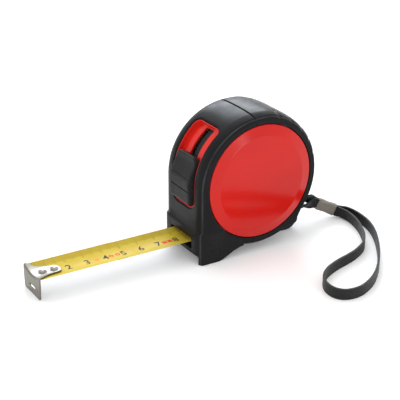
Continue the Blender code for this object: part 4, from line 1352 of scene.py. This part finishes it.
def make_rivets():
    """Rivets with a pressed rim, a groove and a polished dome."""
    low = blade_top(0) - 0.15
    seat = blade_top(0) + HOOK_THICK + HOOK_RISE + 0.08
    for number, x in enumerate(RIVETS_X, 1):
        profile = [(0, low), (0.95, low), (0.95, seat), (2.15, seat), (2.25, seat + 0.1)]
        profile += [(2.2, seat + 0.26), (2.08, seat + 0.32), (1.92, seat + 0.1)]
        profile += [(1.66, seat + 0.02), (1.44, seat + 0.08)]
        for i in range(7):
            a = math.radians(12 + 78 * i / 6)
            profile.append((1.42 * math.cos(a), seat + 0.1 + 1.0 * math.sin(a)))
        profile[-1] = (0, seat + 1.1)
        body = turned(profile, 40, 0, 0)
        for vertex in body.verts:
            a, height, b = vertex.co
            vertex.co = (x + a, b, height)
        add_piece(f"rivet_{number}", body, POLISHED, "blade", [f"hook_rivet_{number}"], 50)


# ---------------------------------------------------------------- belt clip


def make_belt_clip():
    """A sprung steel plate: a pad under the screw, a step outwards, a stiffening rib and a lip."""
    base = 19.5
    stations = ((45.5, 0.0), (43.5, 0.0), (38.0, 0.0), (34.0, 0.0), (32.0, 0.5), (30.3, 1.7), (28.8, 3.4))
    stations += ((27.2, 4.7), (25.2, 5.05), (22.0, 4.8), (18.5, 4.6), (16.4, 4.6), (15.2, 5.05))
    stations += ((14.0, 6.0),)
    line = smooth_route([(0, base + out, z) for z, out in stations], 0.5)
    rings = []
    for i, point in enumerate(line):
        before, after = line[max(0, i - 1)], line[min(len(line) - 1, i + 1)]
        way = (after - before).normalized()
        through = Vector((0, -way.z, way.y))
        end = min(point.z - 14.0, 45.5 - point.z)
        half = 12.5 - 2.2 * (1 - math.sqrt(max(0.0, 1 - max(0.0, 1 - end / 2.2) ** 2)))
        rib = 0.55 * smoothstep((31.5 - point.z) / 3) * smoothstep((point.z - 16.5) / 3)
        outer_side = []
        inner_side = []
        for k in range(25):
            x = -half + 2 * half * k / 24
            raised = rib * smoothstep((4.2 - abs(x)) / 1.6)
            here = point + Vector((x, 0, 0)) + through * raised
            inner_side.append(here)
            outer_side.append(here + through * 0.95)
        rings.append(outer_side + list(reversed(inner_side)))
    hole = turned([(0, 15), (1.9, 15), (1.9, 30), (0, 30)], 32)
    body = combined(skin(rings), ("DIFFERENCE", hole))
    clip = add_piece("belt_clip_plate", body, STEEL, "case", ["belt_clip"], 36)
    add_bevel(clip, 0.12, 2, 50)


def make_clip_screw():
    head = 20.8
    profile = [(0, 6.0), (1.0, 6.0), (1.0, head), (3.1, head), (3.2, head + 0.15), (3.15, head + 0.5)]
    for i in range(6):
        a = math.radians(15 + 75 * i / 5)
        profile.append((3.15 * math.cos(a), head + 0.45 + 1.1 * math.sin(a)))
    profile[-1] = (0, head + 1.55)
    body = turned(profile, 48)
    bars = []
    for x, z in ((1.75, 0.38), (0.38, 1.75)):
        bars.append(("DIFFERENCE", box(-x, x, head + 0.75, head + 3, REEL_Z - z, REEL_Z + z)))
    body = combined(body, *bars)
    head = add_piece("clip_screw_head", body, POLISHED, "case", ["clip_screw"], 34)
    add_bevel(head, 0.05, 1, 50)


# ---------------------------------------------------------------- carried-over frame nodes

CARRIED = {
    "near_shell": RED,
    "far_shell": RED,
    "case_screw_1": STEEL,
    "case_screw_2": STEEL,
    "case_screw_3": STEEL,
    "spindle": STEEL,
    "near_washer": NYLON,
    "far_washer": NYLON,
    "reel_drum": NYLON,
    "reel_cover": NYLON,
    "blade_coil": PLAIN_YELLOW,
    "power_spring": SPRING,
    "brake_shoe": SOFT_BLACK,
}


def dress_carried_nodes():
    for name, material in CARRIED.items():
        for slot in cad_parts[name].material_slots:
            slot.material = material


make_camera()
make_stage()
make_wrist_loop(make_ferrule())
make_strap_anchor()
make_front_frame()
make_rear_frame()
make_strap_pin()
make_discs()
make_track()
make_button()
make_arm()
make_blade()
make_printing()
make_hook()
make_rivets()
make_belt_clip()
make_clip_screw()
dress_carried_nodes()
